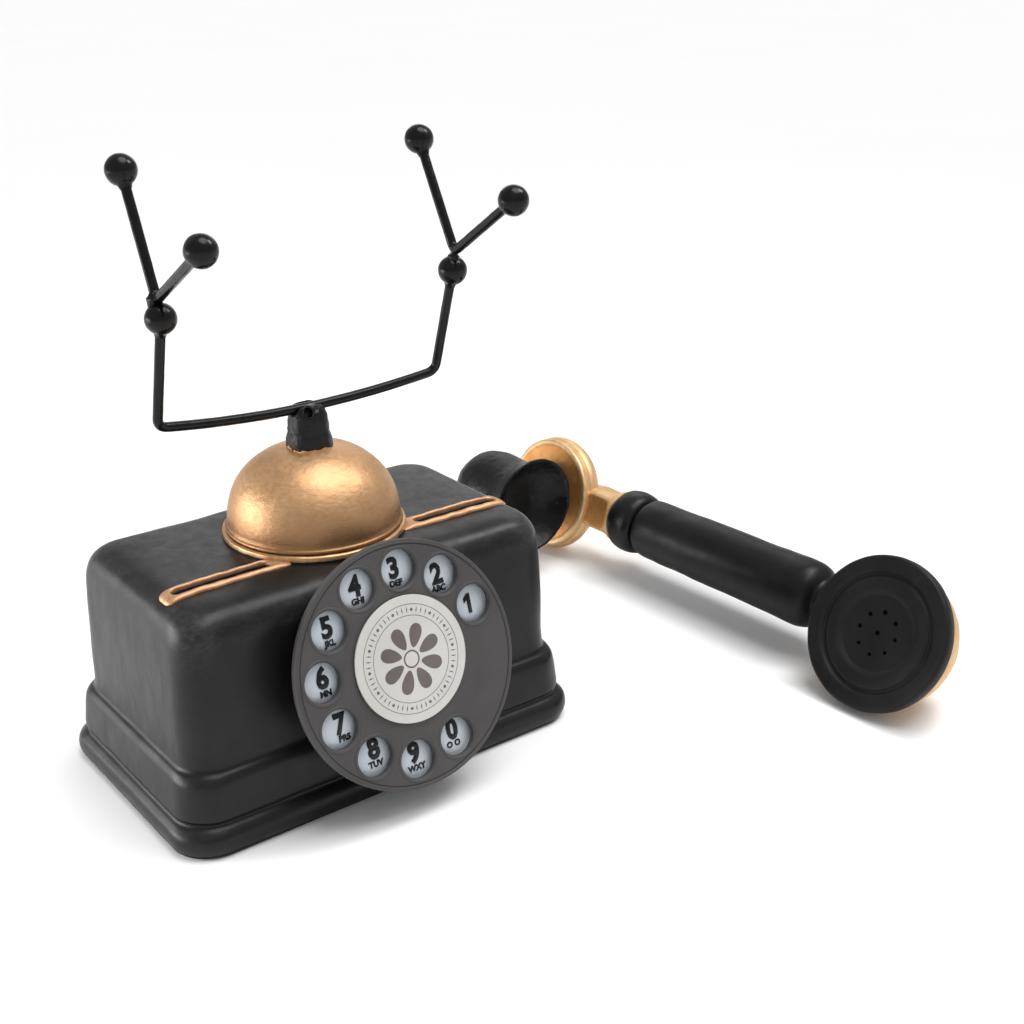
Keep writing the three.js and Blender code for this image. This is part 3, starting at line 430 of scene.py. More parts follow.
def black_paint(name="black_paint", shade=0.45, roughness=(0.32, 0.48), pits=0.05, gloss=0.19,
                wear_and_sheen=(0.53, 0.56), crown=None):
    """Satin black. wear = the bulges where a lighter edge tone starts and where it is full; that
    tone is partly rubbed paint and partly a painted highlight.

    crown = (height, height in mm): the lighter edge tone fades from the second height down to the
    first, so the painted highlight stays on the top edges that face the light.
    """
    paint = Paint(name, gloss=gloss)
    patches = paint.noise(34, 4, 0.6)
    low, high = (0.0075 * shade,) * 3, (0.019 * shade, 0.019 * shade, 0.0195 * shade)
    brushed = paint.noise(5, 5, 0.65, paint.stretched((1, 1, 0.35)))
    base = paint.ramp(patches, [(0.3, low), (0.7, high)])
    worn = paint.ramp(paint.noise(1.6, 6, 0.7), [(0.66, 0), (0.8, 0.35)])
    # lighter bulging edges: partly rubbed paint, partly a painted highlight
    if wear_and_sheen:
        grain = paint.noise(1.1, 5, 0.7, paint.stretched((0.5, 0.5, 1)))
        edge = paint.maths("MULTIPLY", paint.bulges(*wear_and_sheen),
                           paint.ramp(grain, [(0.4, 0.4), (0.64, 1)]))
        # the painted highlight fades out below the lit top edges
        if crown:
            fade = paint.ramp(paint.height(), [(crown[0] * MM, 0.12), (crown[1] * MM, 1)])
            edge = paint.maths("MULTIPLY", edge, fade)
        base = paint.mix(edge, base, RUBBED_AND_SHEEN)
    paint.colour(paint.mix(worn, base, SPECKLED))
    paint.rough(brushed, *roughness, 0.72)
    paint.bump(paint.noise(11, 3, 0.5), 0.28, 0.35)
    paint.bump(brushed, 0.1, 0.4)
    paint.bump(paint.noise(0.9, 4, 0.6), 0.035, 0.6)
    pit = paint.maths("MULTIPLY", paint.spots(2.6, 0.13),
                      paint.ramp(paint.noise(14), [(0.52, 0), (0.62, 1)]))
    paint.bump(pit, -pits, 1.0)
    return paint


def enamel():
    paint = Paint("black_enamel", coat=0.16, coat_roughness=0.1, gloss=0.16)
    paint.colour(paint.ramp(paint.noise(6, 4), [(0.3, (0.002, 0.002, 0.0022)),
                                                (0.75, (0.006, 0.006, 0.0065))]))
    paint.rough(paint.noise(3, 4), 0.16, 0.34)
    paint.bump(paint.noise(1.7, 3), 0.05, 0.5)
    paint.bump(paint.spots(1.9, 0.12), -0.03, 0.6)
    return paint


METALLIC = 0.82                         # share of metal in the copper and gold paints
COPPER_HEIGHT, COPPER_RAGGED = 109.8, 2.4               # the copper band on the post's foot


def metallic_paint(name, dark, middle, light, roughness=(0.3, 0.46), grain=(1, 1, 1), edge=None,
                   gloss=0.5, patch=9, dark_reflection=None, relief=1.0):
    """Brushed-on metallic paint with patches of tone of about patch millimetres.

    edge = (height in mm, softness): black paint shows below it.
    deepen = (height, height in mm, share): a painted reflection of the dark housing; the tone is
    darker below the first height.
    """
    paint = Paint(name, metallic=METALLIC, gloss=gloss)
    where = paint.stretched(grain)
    strokes = paint.noise(2.2, 6, 0.65, where)
    tone = paint.ramp(paint.noise(patch, 5, 0.6), [(0.25, dark), (0.5, middle), (0.78, light)])
    fine = paint.ramp(strokes, [(0.35, 0.0), (0.7, 0.55)])
    colour = paint.mix(fine, tone, light)
    speck = paint.ramp(paint.noise(0.8, 4, 0.7), [(0.67, 0), (0.74, 1)])
    colour = paint.mix(paint.maths("MULTIPLY", speck, 0.45), colour, (0.09, 0.04, 0.015))
    # painted reflection of the dark housing: darker toward the foot
    if dark_reflection:
        low, high, share = dark_reflection
        reflection_share = paint.ramp(paint.height(), [(low * MM, share), (high * MM, 0)])
        colour = paint.mix(reflection_share, colour, [0.6 * value for value in dark])
    if edge:
        level, soft = edge
        ragged = paint.maths("MULTIPLY", paint.noise(2.4, 4, 0.6), soft * MM)
        above = paint.maths("SUBTRACT", paint.height(), ragged)
        share = paint.maths("GREATER_THAN", (level - soft / 2) * MM, above)
        colour = paint.mix(share, colour, (0.012, 0.012, 0.013))
        paint.set("Metallic", paint.ramp(share, [(0, METALLIC), (1, 0.0)]))
    paint.colour(colour)
    paint.rough(strokes, *roughness)
    paint.bump(paint.noise(7, 3), 0.3, 0.4)
    paint.bump(paint.noise(2.4, 2, 0.4), 0.1 * relief, 0.5)
    paint.bump(strokes, 0.09 * relief, 0.6)
    paint.bump(paint.noise(0.7, 4), 0.03 * relief, 0.6)
    return paint


def post_paint():
    """Black, with the gong's copper in a ragged band at the foot of the post."""
    paint = metallic_paint("post_paint", (0.5, 0.27, 0.12), (0.6, 0.36, 0.17), (0.7, 0.45, 0.25),
                           gloss=0.18)
    copper = paint.shader.inputs["Base Color"].links[0].from_socket
    ragged = paint.maths("MULTIPLY", paint.noise(2.6, 2, 0.5), COPPER_RAGGED * MM)
    above = paint.maths("GREATER_THAN", paint.maths("ADD", ragged, paint.height()),
                        COPPER_HEIGHT * MM)
    paint.colour(paint.mix(above, copper, (0.011, 0.011, 0.012)))
    paint.set("Metallic", paint.ramp(above, [(0, METALLIC), (1, 0.0)]))
    return paint


def matte(name, low, high, roughness, grain=0.7, depth=0.03, metallic=0.0):
    paint = Paint(name, metallic=metallic, gloss=0.3)
    paint.colour(paint.mix(paint.ramp(paint.noise(grain, 5, 0.7), [(0.35, 0), (0.7, 0.4)]),
                           paint.ramp(paint.noise(18, 4), [(0.3, low), (0.72, high)]), high))
    paint.rough(paint.noise(4, 4), *roughness)
    paint.bump(paint.noise(grain, 4, 0.6), depth, 0.6)
    paint.bump(paint.noise(8, 3), depth * 3, 0.3)
    return paint


def metal(name, low, high, roughness):
    paint = Paint(name, metallic=1.0)
    lines = paint.noise(0.9, 4, 0.6, paint.stretched((1, 1, 12)))
    paint.colour(paint.ramp(lines, [(0.3, low), (0.75, high)]))
    paint.rough(paint.noise(3, 4), *roughness)
    paint.bump(lines, 0.03, 0.5)
    return paint


def fibreboard():
    paint = Paint("fibreboard")
    fibres = paint.noise(1.1, 6, 0.75, paint.stretched((1, 3, 1), (0, 0, 25)))
    paint.colour(paint.ramp(fibres, [(0.3, (0.07, 0.033, 0.015)), (0.7, (0.19, 0.1, 0.048))]))
    paint.rough(fibres, 0.75, 0.92, 0.7)
    paint.bump(fibres, 0.12, 0.7)
    return paint


def felt_cloth():
    paint = Paint("felt", sheen=0.5)
    fuzz = paint.noise(0.55, 7, 0.8, distortion=1.2)
    clumps = paint.noise(4, 5, 0.6)
    tone = paint.ramp(clumps, [(0.3, (0.006, 0.006, 0.008)), (0.7, (0.016, 0.016, 0.02))])
    paint.colour(paint.mix(fuzz, tone, (0.035, 0.035, 0.04)))
    paint.rough(fuzz, 0.85, 0.98, 0.7)
    paint.bump(clumps, 0.3, 0.5)
    paint.bump(fuzz, 0.16, 0.9)
    return paint


BLACK = black_paint()
# the housing's lighter top edges are partly rubbed paint and partly a painted highlight
BLACK_HOUSING = black_paint("black_housing", roughness=(0.3, 0.44), gloss=0.26, wear_and_sheen=(0.502, 0.513),
                            crown=(60, 75))
BLACK_MATTE = black_paint("black_cap", 1.0, (0.4, 0.56), 0.09, 0.17, wear_and_sheen=None)
BLACK_ROUGH = black_paint("black_rough", 0.5, (0.28, 0.46), 0.12, 0.22)
ENAMEL = enamel()
# the gong's darker foot is a painted reflection of the dark housing
COPPER = metallic_paint("copper_paint", (0.44, 0.22, 0.095), (0.55, 0.31, 0.15), (0.7, 0.45, 0.25),
                        (0.39, 0.54), (1, 1, 2.5), patch=24, dark_reflection=(83, 98, 0.9), relief=1.9)
COPPER_RING = metallic_paint("copper_ring", (0.4, 0.2, 0.09), (0.53, 0.3, 0.14), (0.7, 0.46, 0.25),
                             edge=(79.5, 1.1))
COPPER_TRIM = metallic_paint("copper_trim", (0.37, 0.185, 0.09), (0.5, 0.275, 0.145),
                             (0.67, 0.43, 0.26), (0.44, 0.6))
POST_PAINT = post_paint()
GOLD = metallic_paint("gold_paint", (0.54, 0.31, 0.13), (0.69, 0.44, 0.215), (0.83, 0.61, 0.37),
                      (0.45, 0.6))
# a darker, redder copy of the gold paint: painted shade on the flat front faces of the neck and
# disc
GOLD_SHADED_FACE = metallic_paint("gold_shaded_face", (0.5, 0.2, 0.055), (0.64, 0.29, 0.09), (0.75, 0.41, 0.16),
                           (0.45, 0.6))
WHEEL = matte("wheel_grey", (0.055, 0.052, 0.0515), (0.073, 0.07, 0.069), (0.5, 0.62))
PLATE = matte("plate_silver", (0.5, 0.55, 0.6), (0.62, 0.67, 0.72), (0.3, 0.45), 1.2, 0.06, 0.1)
LABEL = matte("label_silver", (0.56, 0.54, 0.515), (0.64, 0.63, 0.6), (0.32, 0.44), 0.5, 0.01, 0.15)
INK = matte("label_ink", (0.1, 0.082, 0.078), (0.16, 0.135, 0.13), (0.45, 0.6), 0.4, 0.01)
# a flat dark ring: painted shadow of a groove near the finger wheel's rim
GROOVE_SHADOW = matte("painted_groove_shadow", (0.012, 0.011, 0.011), (0.02, 0.019, 0.019), (0.5, 0.65), 0.5,
                  0.01)
DIGIT = black_paint("digit_black", 0.25, (0.12, 0.26), 0.03, 0.35, wear_and_sheen=None)
STEEL = metal("steel", (0.25, 0.26, 0.27), (0.42, 0.43, 0.44), (0.25, 0.45))
BRASS = metal("brass", (0.35, 0.21, 0.06), (0.55, 0.36, 0.12), (0.22, 0.42))
BOARD = fibreboard()
FELT = felt_cloth()
RUBBER = matte("rubber", (0.012, 0.012, 0.012), (0.026, 0.026, 0.027), (0.6, 0.8), 0.6, 0.05)


def paint_all(piece, look):
    piece.data.materials.clear()
    piece.data.materials.append(look.made)


def dress(piece, look, body, slot, *nodes):
    """Paints the piece and says which body it rides and the CAD nodes it replaces; slot is not
    used.
    """
    paint_all(piece, look)
    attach(piece, body)
    if nodes:
        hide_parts(*nodes)


# ---- housing and base ----

SMOOTH_PROFILE = smooth_line(HOUSING_PROFILE)


def top_height(x, y):
    """Height of the housing's crowned top above a point of it."""
    inset = min(BASE_HALF_WIDTH - abs(x), BASE_HALF_DEPTH - abs(y))
    if inset >= SMOOTH_PROFILE[-1][1]:
        return HOUSING_TOP
    for (z0, i0), (z1, i1) in zip(SMOOTH_PROFILE, SMOOTH_PROFILE[1:]):
        if z0 > 30 and i0 <= inset <= i1:
            return z0 + (z1 - z0) * (inset - i0) / max(i1 - i0, 1e-6)
    return 70.0


SLOT_MIDDLE, SLOT_HALF = (SLOT_INNER + SLOT_OUTER) / 2, (SLOT_OUTER - SLOT_INNER) / 2
ROUND_END = 0.05                        # a slot's corners are this much under half its width


def slot_tool(side):
    ring = rounded_rectangle(SLOT_HALF, SLOT_WIDTH / 2, SLOT_WIDTH / 2 - ROUND_END, 6, (16, 1))
    bottom, top = 66.0, 90.0
    rings = [[(p.x + side * SLOT_MIDDLE, p.y + SLOT_Y, z) for p in ring] for z in (bottom, top)]
    return loft("slot_tool", rings)


def build_housing():
    rings = []
    clear, depth = 0.3, 4.9              # the recess for the base plate
    recess = rounded_rectangle(PLATE_HALF_WIDTH + clear, PLATE_HALF_DEPTH + clear, PLATE_CORNER)
    for z, flare in ((depth, 0), (0.8, 0), (0.3, 0.5)):
        rings.append([(p.x * (1 + flare / 72), p.y * (1 + flare / 43), z) for p in recess])
    crown = [(HOUSING_TOP, inset) for inset in (37, 40, 43, 46, 48)]
    for z, inset in [*SMOOTH_PROFILE, *crown]:
        half_depth = BASE_HALF_DEPTH - inset
        corner = min(BASE_CORNER - 0.35 * min(inset, 20), half_depth - 0.1)
        ring = rounded_rectangle(BASE_HALF_WIDTH - inset, half_depth, corner)
        rings.append([(p.x, p.y, z) for p in ring])
    piece = loft("housing_body", rings, sharp=50)
    uneven(piece, 26, 0.55, 1, lambda p: p.z > 0.5)
    uneven(piece, 7, 0.12, 2, lambda p: p.z > 0.5)
    cut(piece, slot_tool(-1), slot_tool(1), sharp=50)
    dress(piece, BLACK_HOUSING, "base", "black_paint", "housing")


# A lip stands back from its slot, and its end runs to the ring.
LIP_CLEAR, LIP_RUN = 0.65, 3.6


def build_trim(word, side):
    """Raised lip round a coin slot: rings from its outer edge over the lip and into the slot."""
    trim_middle, trim_half = (TRIM_INNER + TRIM_OUTER) / 2, (TRIM_OUTER - TRIM_INNER) / 2
    outer = rounded_rectangle(trim_half, TRIM_WIDTH / 2, 2.4, 8, (60, 6))
    opening = SLOT_WIDTH / 2 + LIP_CLEAR
    inner = rounded_rectangle(SLOT_HALF + LIP_CLEAR, opening, opening - ROUND_END, 8, (60, 6))
    # (share of the way in, rise above the top)
    section = [(0.0, -0.5), (0.0, 0.05), (0.1, 0.35), (0.26, 0.66), (0.46, 0.88), (0.66, 0.95),
               (0.84, 0.86), (0.96, 0.5), (1.0, 0.1), (1.0, -0.6)]
    rings = []
    for share, rise in section:
        ring = []
        for a, b in zip(outer, inner):
            x = side * trim_middle + a.x + share * (side * (SLOT_MIDDLE - trim_middle) + b.x - a.x)
            y = SLOT_Y + a.y + share * (b.y - a.y)
            inward = max(0.0, min(1.0, (TRIM_INNER + 5 - abs(x)) / 5))
            forward = max(0.0, min(1.0, (SLOT_Y + 1 - y) / 4))
            x -= side * LIP_RUN * inward * forward * (1 - share)
            wobble = 0.45 * noise.noise(Vector((x / 5, y / 5, side * 4.0)))
            y += wobble * (1 - 0.6 * share)
            lift = rise * (1 + 0.25 * noise.noise(Vector((x / 4, y / 3, 9.0))))
            ring.append((x, y, top_height(x, y) + (lift if rise > 0 else rise)))
        rings.append(ring)
    rings.append(rings[0])
    piece = loft(f"coin_slot_lip_{word}", rings, sharp=60, capped=False)
    dress(piece, COPPER_TRIM, "base", "copper_paint", f"slot_trim_{word}")


def ring_sheet(name, outer, centre, hole_radius, low, high):
    """Flat sheet with a round hole: rings of points run from the hole to the outline."""
    middle = Vector(centre)
    steps, edge = 26, 0.25
    pairs = [(toward(middle, p, hole_radius), p) for p in outer]
    shares = [0.0, 0.004, *(k / steps for k in range(1, steps)), 0.996, 1.0]
    rounding = [edge if share in (0.0, 1.0) else 0 for share in shares]
    levels = [(share, high - drop) for share, drop in zip(shares, rounding)]
    levels += [(share, low + rise) for share, rise in zip(shares[::-1], rounding)]
    rings = [[(*a.lerp(b, share), z) for a, b in pairs] for share, z in [*levels, levels[0]]]
    return loft(name, rings, sharp=50, capped=False)


def build_base():
    outline = rounded_rectangle(PLATE_HALF_WIDTH, PLATE_HALF_DEPTH, PLATE_CORNER)
    pad = ring_sheet("felt_pad", outline, (PLUG_X, 0), PLUG_HOLE_RADIUS, 0.0, 1.3)
    uneven(pad, 5, 0.12, 5, lambda p: 0.2 < p.z or p.z < 0.1)
    for v in pad.data.vertices:
        v.co.z = max(v.co.z, 0.0)
    dress(pad, FELT, "base", "felt", "base_pad")
    plug = lathe("coin_plug_body", rounded([
        (0, 0.9), (3, 0.9), (5, 0.35), (18.4, 0.35), (18.55, 1.25), (16.2, 1.3), (15.4, 2.0),
        (15.8, 3.2), (15.2, 5.9), (0, 5.9)], 0.5), at(PLUG_X, 0, 0), 72)
    dress(plug, RUBBER, "coin_plug", "rubber", "coin_plug")


# ---- gong ----

def build_gong():
    ring = lathe("gong_collar", rounded([
        (24.2, RING_TOP), (24.2, 77.6), (31.0, 77.6), (31.1, 79.7), (30.9, 80.9), (30.2, RING_TOP),
        (24.2, RING_TOP)], 0.45), steps=180)
    uneven(ring, 6, 0.22, 3, lambda p: p.xy.length > 29)
    dress(ring, COPPER_RING, "base", "copper_paint", "gong_ring")
    steps = 40
    dome = []
    for i in range(steps + 1):
        a = math.pi / 2 * i / steps
        dome.append((GONG_RADIUS * math.cos(a) ** (2 / GONG_ROUNDNESS),
                     GONG_BOTTOM + GONG_HEIGHT * math.sin(a) ** (2 / GONG_ROUNDNESS)))
    dome[-1] = (0.0, GONG_BOTTOM + GONG_HEIGHT)
    lip = [(radius, GONG_BOTTOM + z) for radius, z in (
        (26.8, -0.25), (29.6, -0.2), (29.95, 0.25), (29.75, 0.8), (29.25, 1.5))]
    upper = [p for p in dome if p[1] > GONG_BOTTOM + 2.1]
    inner = [(r * 0.93, z - 2) for r, z in reversed(upper) if z - 2 > GONG_BOTTOM + 0.4]
    outline = [*rounded(lip, 0.3), *upper, *inner, lip[0]]
    shell = lathe("gong_dome", outline, steps=160)
    uneven(shell, 9, 0.22, 4, lambda p: p.z > GONG_BOTTOM + 1)
    dress(shell, COPPER, "base", "copper_paint", "gong")


# ---- cradle ----

def fork_point(side, word, x, y, z):
    turned = rotation(FORK_TURN[word], "X") @ Vector((x, y, z))
    return Vector((side * LEG_SPREAD, 0, LEG_HEIGHT)) + turned


def tip(side, word, end):
    return fork_point(side, word, side * (TIP_SPREAD - LEG_SPREAD), end * TIP_REACH,
                      TIP_HEIGHT - LEG_HEIGHT)


def ball(name, centre, toward, node):
    """Enamelled ball with the small collar of paint and solder where its wire enters."""
    collar = 2.3
    inner = math.asin(collar / BALL_RADIUS)
    outline = [(BALL_RADIUS * math.sin(a), BALL_RADIUS * math.cos(a))
               for a in (math.pi - i * (math.pi - inner) / 30 for i in range(31))]
    outline[0] = (0.0, -BALL_RADIUS)
    outline += [(2.1, 4.85), (1.95, 5.2), (1.8, 5.75), (0.0, 5.8)]
    direction = (Vector(toward) - Vector(centre)).normalized()
    turned = direction.to_track_quat("Z", "Y").to_matrix().to_4x4()
    piece = lathe(name, outline, WIRES @ at(*centre) @ turned, 56, 60)
    uneven(piece, 3.2, 0.1, 6)
    dress(piece, ENAMEL, "cradle", "black_enamel", node)


def weld(name, centre, size, seed):
    """Lump of solder under the enamel."""
    rows, count = 14, 20
    rings = []
    for r in range(rows + 1):
        a = math.pi * (r + 0.02) / (rows + 0.04)
        rings.append([Vector((size[0] * math.sin(a) * math.cos(TURN * i / count),
                              size[1] * math.sin(a) * math.sin(TURN * i / count),
                              size[2] * math.cos(a))) for i in range(count)])
    lump, depth = 1.3, 0.22
    rings = [[p * (1 + depth * noise.noise(p / lump + Vector((seed, 0, 0)))) for p in ring]
             for ring in rings]
    return loft(name, rings, WIRES @ at(*centre), 60)


def build_cradle():
    corners = {s: Vector((s * CROSSBAR_HALF + CROSSBAR_SKEW, 0, CROSSBAR_SAG)) for s in (-1, 1)}
    tops = {s: Vector((s * LEG_SPREAD, 0, LEG_HEIGHT)) for s in (-1, 1)}
    lowest = Vector((CROSSBAR_SKEW, 0, -CROSSBAR_SAG))
    upper = {s: toward(corners[s], tops[s], CROSSBAR_BEND) for s in (-1, 1)}
    lower = {s: toward(corners[s], lowest, CROSSBAR_BEND) for s in (-1, 1)}
    path = [tops[-1].lerp(upper[-1], k) for k in [0.11, *(k / 16 for k in range(3, 16))]]
    path += bezier(upper[-1], corners[-1], lower[-1], 10)[:-1]
    path += bezier(lower[-1], lowest, lower[1], 48)[:-1]
    path += bezier(lower[1], corners[1], upper[1], 10)[:-1]
    path += [upper[1].lerp(tops[1], k) for k in [*(k / 16 for k in range(14)), 0.89]]
    bar = sweep("cradle_wire", path, ROD_RADIUS, WIRES)
    uneven(bar, 4, 0.09, 7)
    dress(bar, ENAMEL, "cradle", "black_enamel", "cradle_crossbar")
    for word, side in (("left", -1), ("right", 1)):
        joint = tops[side]
        ball(f"joint_ball_{word}", joint, corners[side], f"cradle_joint_ball_{word}")
        back, up = FORK_VERTEX[word]
        vertex = fork_point(side, word, 0, back, up)
        front, rear = tip(side, word, -1), tip(side, word, 1)
        bend_front, bend_rear = (toward(vertex, end, FORK_BEND) for end in (front, rear))
        legs = [front.lerp(bend_front, 0.09 + 0.91 * k / 20) for k in range(20)]
        legs += bezier(bend_front, vertex, bend_rear, 10)
        legs += [bend_rear.lerp(rear, 0.91 * k / 20) for k in range(1, 21)]
        fork = sweep(f"fork_wire_{word}", legs, ROD_RADIUS, WIRES)
        seat = joint.lerp(vertex, 0.62)
        lumps = [weld("lump_a", seat, (2.0, 2.3, 2.4), side),
                 weld("lump_b", vertex + Vector((0, 0, 1.1)), (1.75, 2.1, 1.7), side + 5)]
        if word == "left":
            lumps.append(weld("lump_c", joint + Vector((-1.6, 2.6, 4.6)), (1.7, 2.0, 3.0), 3))
        joined(fork, *lumps)
        remeshed(fork, 0.24, 3)
        uneven(fork, 3.5, 0.08, 8)
        dress(fork, ENAMEL, "cradle", "black_enamel", f"cradle_fork_{word}")
        ball(f"tip_ball_{word}_front", front, vertex, f"cradle_tip_ball_{word}_front")
        ball(f"tip_ball_{word}_back", rear, vertex, f"cradle_tip_ball_{word}_back")


# The keeper's hollow end shows at the front of the post, turned toward the left.
KEEPER_END, KEEPER_TURN, KEEPER_SHOWN = (-2.8, -6.1, 0.0), 35, 3.6


def build_post():
    levels = [(106.5, 7.3), (108.6, 7.35), (111, 7.2), (112.6, 6.95), (113.4, 6.6), (114.4, 6.75),
              (117, 6.6), (119.2, 6.2), (121.0, 5.6), (122.4, 4.6), (123.0, 3.2)]
    rings = [[(p.x, p.y, z) for p in rounded_rectangle(half, half, half * 0.72, 8, (6, 6))]
             for z, half in levels]
    post = loft("post_block", rings, rotation(CRADLE_YAW, "Z"), 70)
    across, clear = 30, 0.45
    rod_space = sweep("rod_space", [(-across, 0, 0), (across, 0, 0)], ROD_RADIUS + clear, CRADLE)
    mouth = loft("mouth", [[(x, y, z) for x, y in ((-9, -2.0), (9, -2.0), (9, 2.0), (-9, 2.0))]
                           for z in (0, 4)], CRADLE)
    cut(post, rod_space, mouth)
    remeshed(post, 0.3, 5)
    uneven(post, 4.5, 0.6, 9)
    uneven(post, 1.6, 0.12, 10)
    dress(post, POST_PAINT, "base", "black_paint", "cradle_post")
    barrel = rounded([(0, 2.6), (1.4, 2.5), (1.5, 0.2), (1.8, 0), (2.25, 0.1),
                      (KEEPER_RADIUS + 0.1, 0.6), (KEEPER_RADIUS, 1.6),
                      (KEEPER_RADIUS, KEEPER_SHOWN - 0.4), (1.9, KEEPER_SHOWN), (0, KEEPER_SHOWN)],
                     0.25)
    place = CRADLE @ at(*KEEPER_END) @ rotation(KEEPER_TURN, "Z") @ rotation(90, "Y")
    keeper = lathe("keeper_barrel", barrel, place, 48)
    uneven(keeper, 2, 0.15, 11)
    dress(keeper, ENAMEL, "base", "black_enamel", "cradle_keeper")


# ---- dial ----

def hole_centre(i):
    a = math.radians(FIRST_HOLE + HOLE_STEP * i)
    return Vector((HOLE_CIRCLE * math.cos(a), HOLE_CIRCLE * math.sin(a)))


def flat_curve(name):
    curve = bpy.data.curves.new(name, "CURVE")
    curve.dimensions = "2D"
    curve.fill_mode = "BOTH"
    return curve


def circle_spline(curve, centre, radius, clockwise=False):
    """A round Bezier spline in the curve's own plane."""
    spline = curve.splines.new("BEZIER")
    spline.bezier_points.add(7)
    spline.use_cyclic_u = True
    spline.resolution_u = 10
    turn = -1 if clockwise else 1
    arm = turn * (radius * 4 / 3 * math.tan(math.pi / 16))
    for k, point in enumerate(spline.bezier_points):
        out, along = (v.to_3d() for v in spoke(turn * TURN * k / 8))
        middle = Vector((*centre, 0)) + out * radius
        point.co = middle
        point.handle_left, point.handle_right = middle - along * arm, middle + along * arm


def from_curve(name, curve, place, sharp=40):
    """A piece with the mesh of a curve, moved by place."""
    shaper = placed(name + "_shape", curve)
    data = evaluated(shaper)
    bpy.data.objects.remove(shaper)
    data.name = name
    for v in data.vertices:
        v.co = (place @ v.co) * MM
    return tidy(placed(name, data), sharp)


def build_wheel():
    bevel = 0.55
    curve = flat_curve("dial_wheel")
    circle_spline(curve, (0, 0), WHEEL_RADIUS)
    for i in range(10):
        circle_spline(curve, hole_centre(i), HOLE_RADIUS, True)
    curve.extrude = WHEEL_THICKNESS / 2 - bevel
    curve.bevel_depth = bevel
    curve.bevel_resolution = 3
    curve.offset = -bevel
    wheel = from_curve("dial_wheel", curve, DIAL @ at(0, 0, -WHEEL_THICKNESS / 2))
    bead = [(HOLE_RADIUS + away, z) for away, z in (
        (0.45, -0.3), (0.5, 0.02), (0.72, 0.2), (0.98, 0.2), (1.2, 0.02), (1.3, -0.3),
        (0.45, -0.3))]
    rims = [lathe(f"hole_rim_{i}", bead, DIAL @ at(*hole_centre(i), 0), 64)
            for i in range(10)]
    edge = WHEEL_RADIUS - 1.5
    line = [(edge + away, z) for away, z in (
        (0, -0.3), (0.1, 0.02), (0.3, 0.14), (0.5, 0.02), (0.6, -0.3), (0, -0.3))]
    rims.append(lathe("edge_line", line, DIAL, 160))
    joined(wheel, *rims)
    dress(wheel, WHEEL, "dial", "wheel_grey", "finger_wheel")
    # a flat black band: painted shadow of a groove inside the wheel's rim
    inside = edge - 0.12
    shadow_ring = band("wheel_groove_shadow", inside - 0.3, inside, -0.1, 0.04, DIAL, 160)
    dress(shadow_ring, GROOVE_SHADOW, "dial", "wheel_grey")


def build_label():
    place = DIAL @ at(*LABEL_OFFSET, 0)
    disc = lathe("dial_badge", rounded([
        (0, 0.35), (LABEL_RADIUS, 0.35), (LABEL_RADIUS, LABEL_FRONT), (0, LABEL_FRONT)], 0.18),
        place, 128)
    dress(disc, LABEL, "dial", "label_silver", "dial_label")
    low, top = LABEL_FRONT - 0.1, LABEL_FRONT + 0.05

    def patch(name, outline):
        return loft(name, [[(x, y, z) for x, y in outline] for z in (low, top)], place)

    marks = []
    for name, share, width in (("outer_line", 0.855, 0.16), ("inner_line", 0.68, 0.16),
                               ("heart_line", 0.13, 0.5)):
        radius = share * LABEL_RADIUS
        marks.append(band(name, radius - width / 2, radius + width / 2, low, top, place))
    spokes, petals, petal_points = 56, 8, 24
    for k in range(spokes):
        out, along = spoke(TURN * k / spokes)
        middle = out * 0.768 * LABEL_RADIUS
        long, wide = (1.05, 0.2) if k % 4 else (0.62, 0.62)
        marks.append(patch(f"mark_{k}", [middle + out * long, middle + along * wide,
                                         middle - out * long, middle - along * wide]))
    for k in range(petals):
        out, along = spoke(TURN * (k + 0.5) / petals)
        shape = []
        for j in range(petal_points):
            t = TURN * j / petal_points
            reach = LABEL_RADIUS * (0.37 + 0.19 * math.cos(t))
            spread = LABEL_RADIUS * 0.105 * math.sin(t) * (1 + 0.35 * math.cos(t))
            shape.append(out * reach + along * spread)
        marks.append(patch(f"petal_{k}", shape))
    joined(*marks)
    marks[0].name = "badge_print"
    dress(marks[0], INK, "dial", "wheel_grey")


DOME_RADIUS, DOME_HEIGHT, DOME_SHIFT = 7.6, 1.25, 0.6
PLATE_EDGE = NUMBER_PLATE_RADIUS + 1.0


def dome_height(x, y):
    """Height of the number plate's face, with a shallow dome under each finger hole."""
    best = 0.0
    for i in range(10):
        centre = hole_centre(i) + Vector((DOME_SHIFT, 0))
        r = (Vector((x, y)) - centre).length / DOME_RADIUS
        if r < 1:
            best = max(best, DOME_HEIGHT * (1 - r ** 5))
    return best


def build_number_plate():
    rows, count = 62, 190
    rings = []
    for r in range(rows + 1):
        radius = NUMBER_PLATE_BORE + (PLATE_EDGE - 0.3 - NUMBER_PLATE_BORE) * r / rows
        rings.append([(x, y, PLATE_FRONT + dome_height(x, y)) for x, y, _ in circle(radius, count)])
    for radius, depth in ((PLATE_EDGE, 0.3), (PLATE_EDGE, 1.4), (PLATE_EDGE - 0.2, 1.6),
                          (NUMBER_PLATE_BORE, 1.6)):
        rings.append(circle(radius, count, PLATE_FRONT - depth))
    rings.append(rings[0])
    plate = loft("digit_plate", rings, DIAL, 50, capped=False)
    dress(plate, PLATE, "base", "plate_silver", "number_plate")


FIGURE_ONE = [(-0.55, 3.2), (0.85, 3.2), (0.85, -3.2), (-0.6, -3.2), (-0.6, 1.3), (-2.0, 0.5),
              (-2.1, 1.9)]
CAPITALS = 0.7                          # height of a capital in the font, as a share of its size


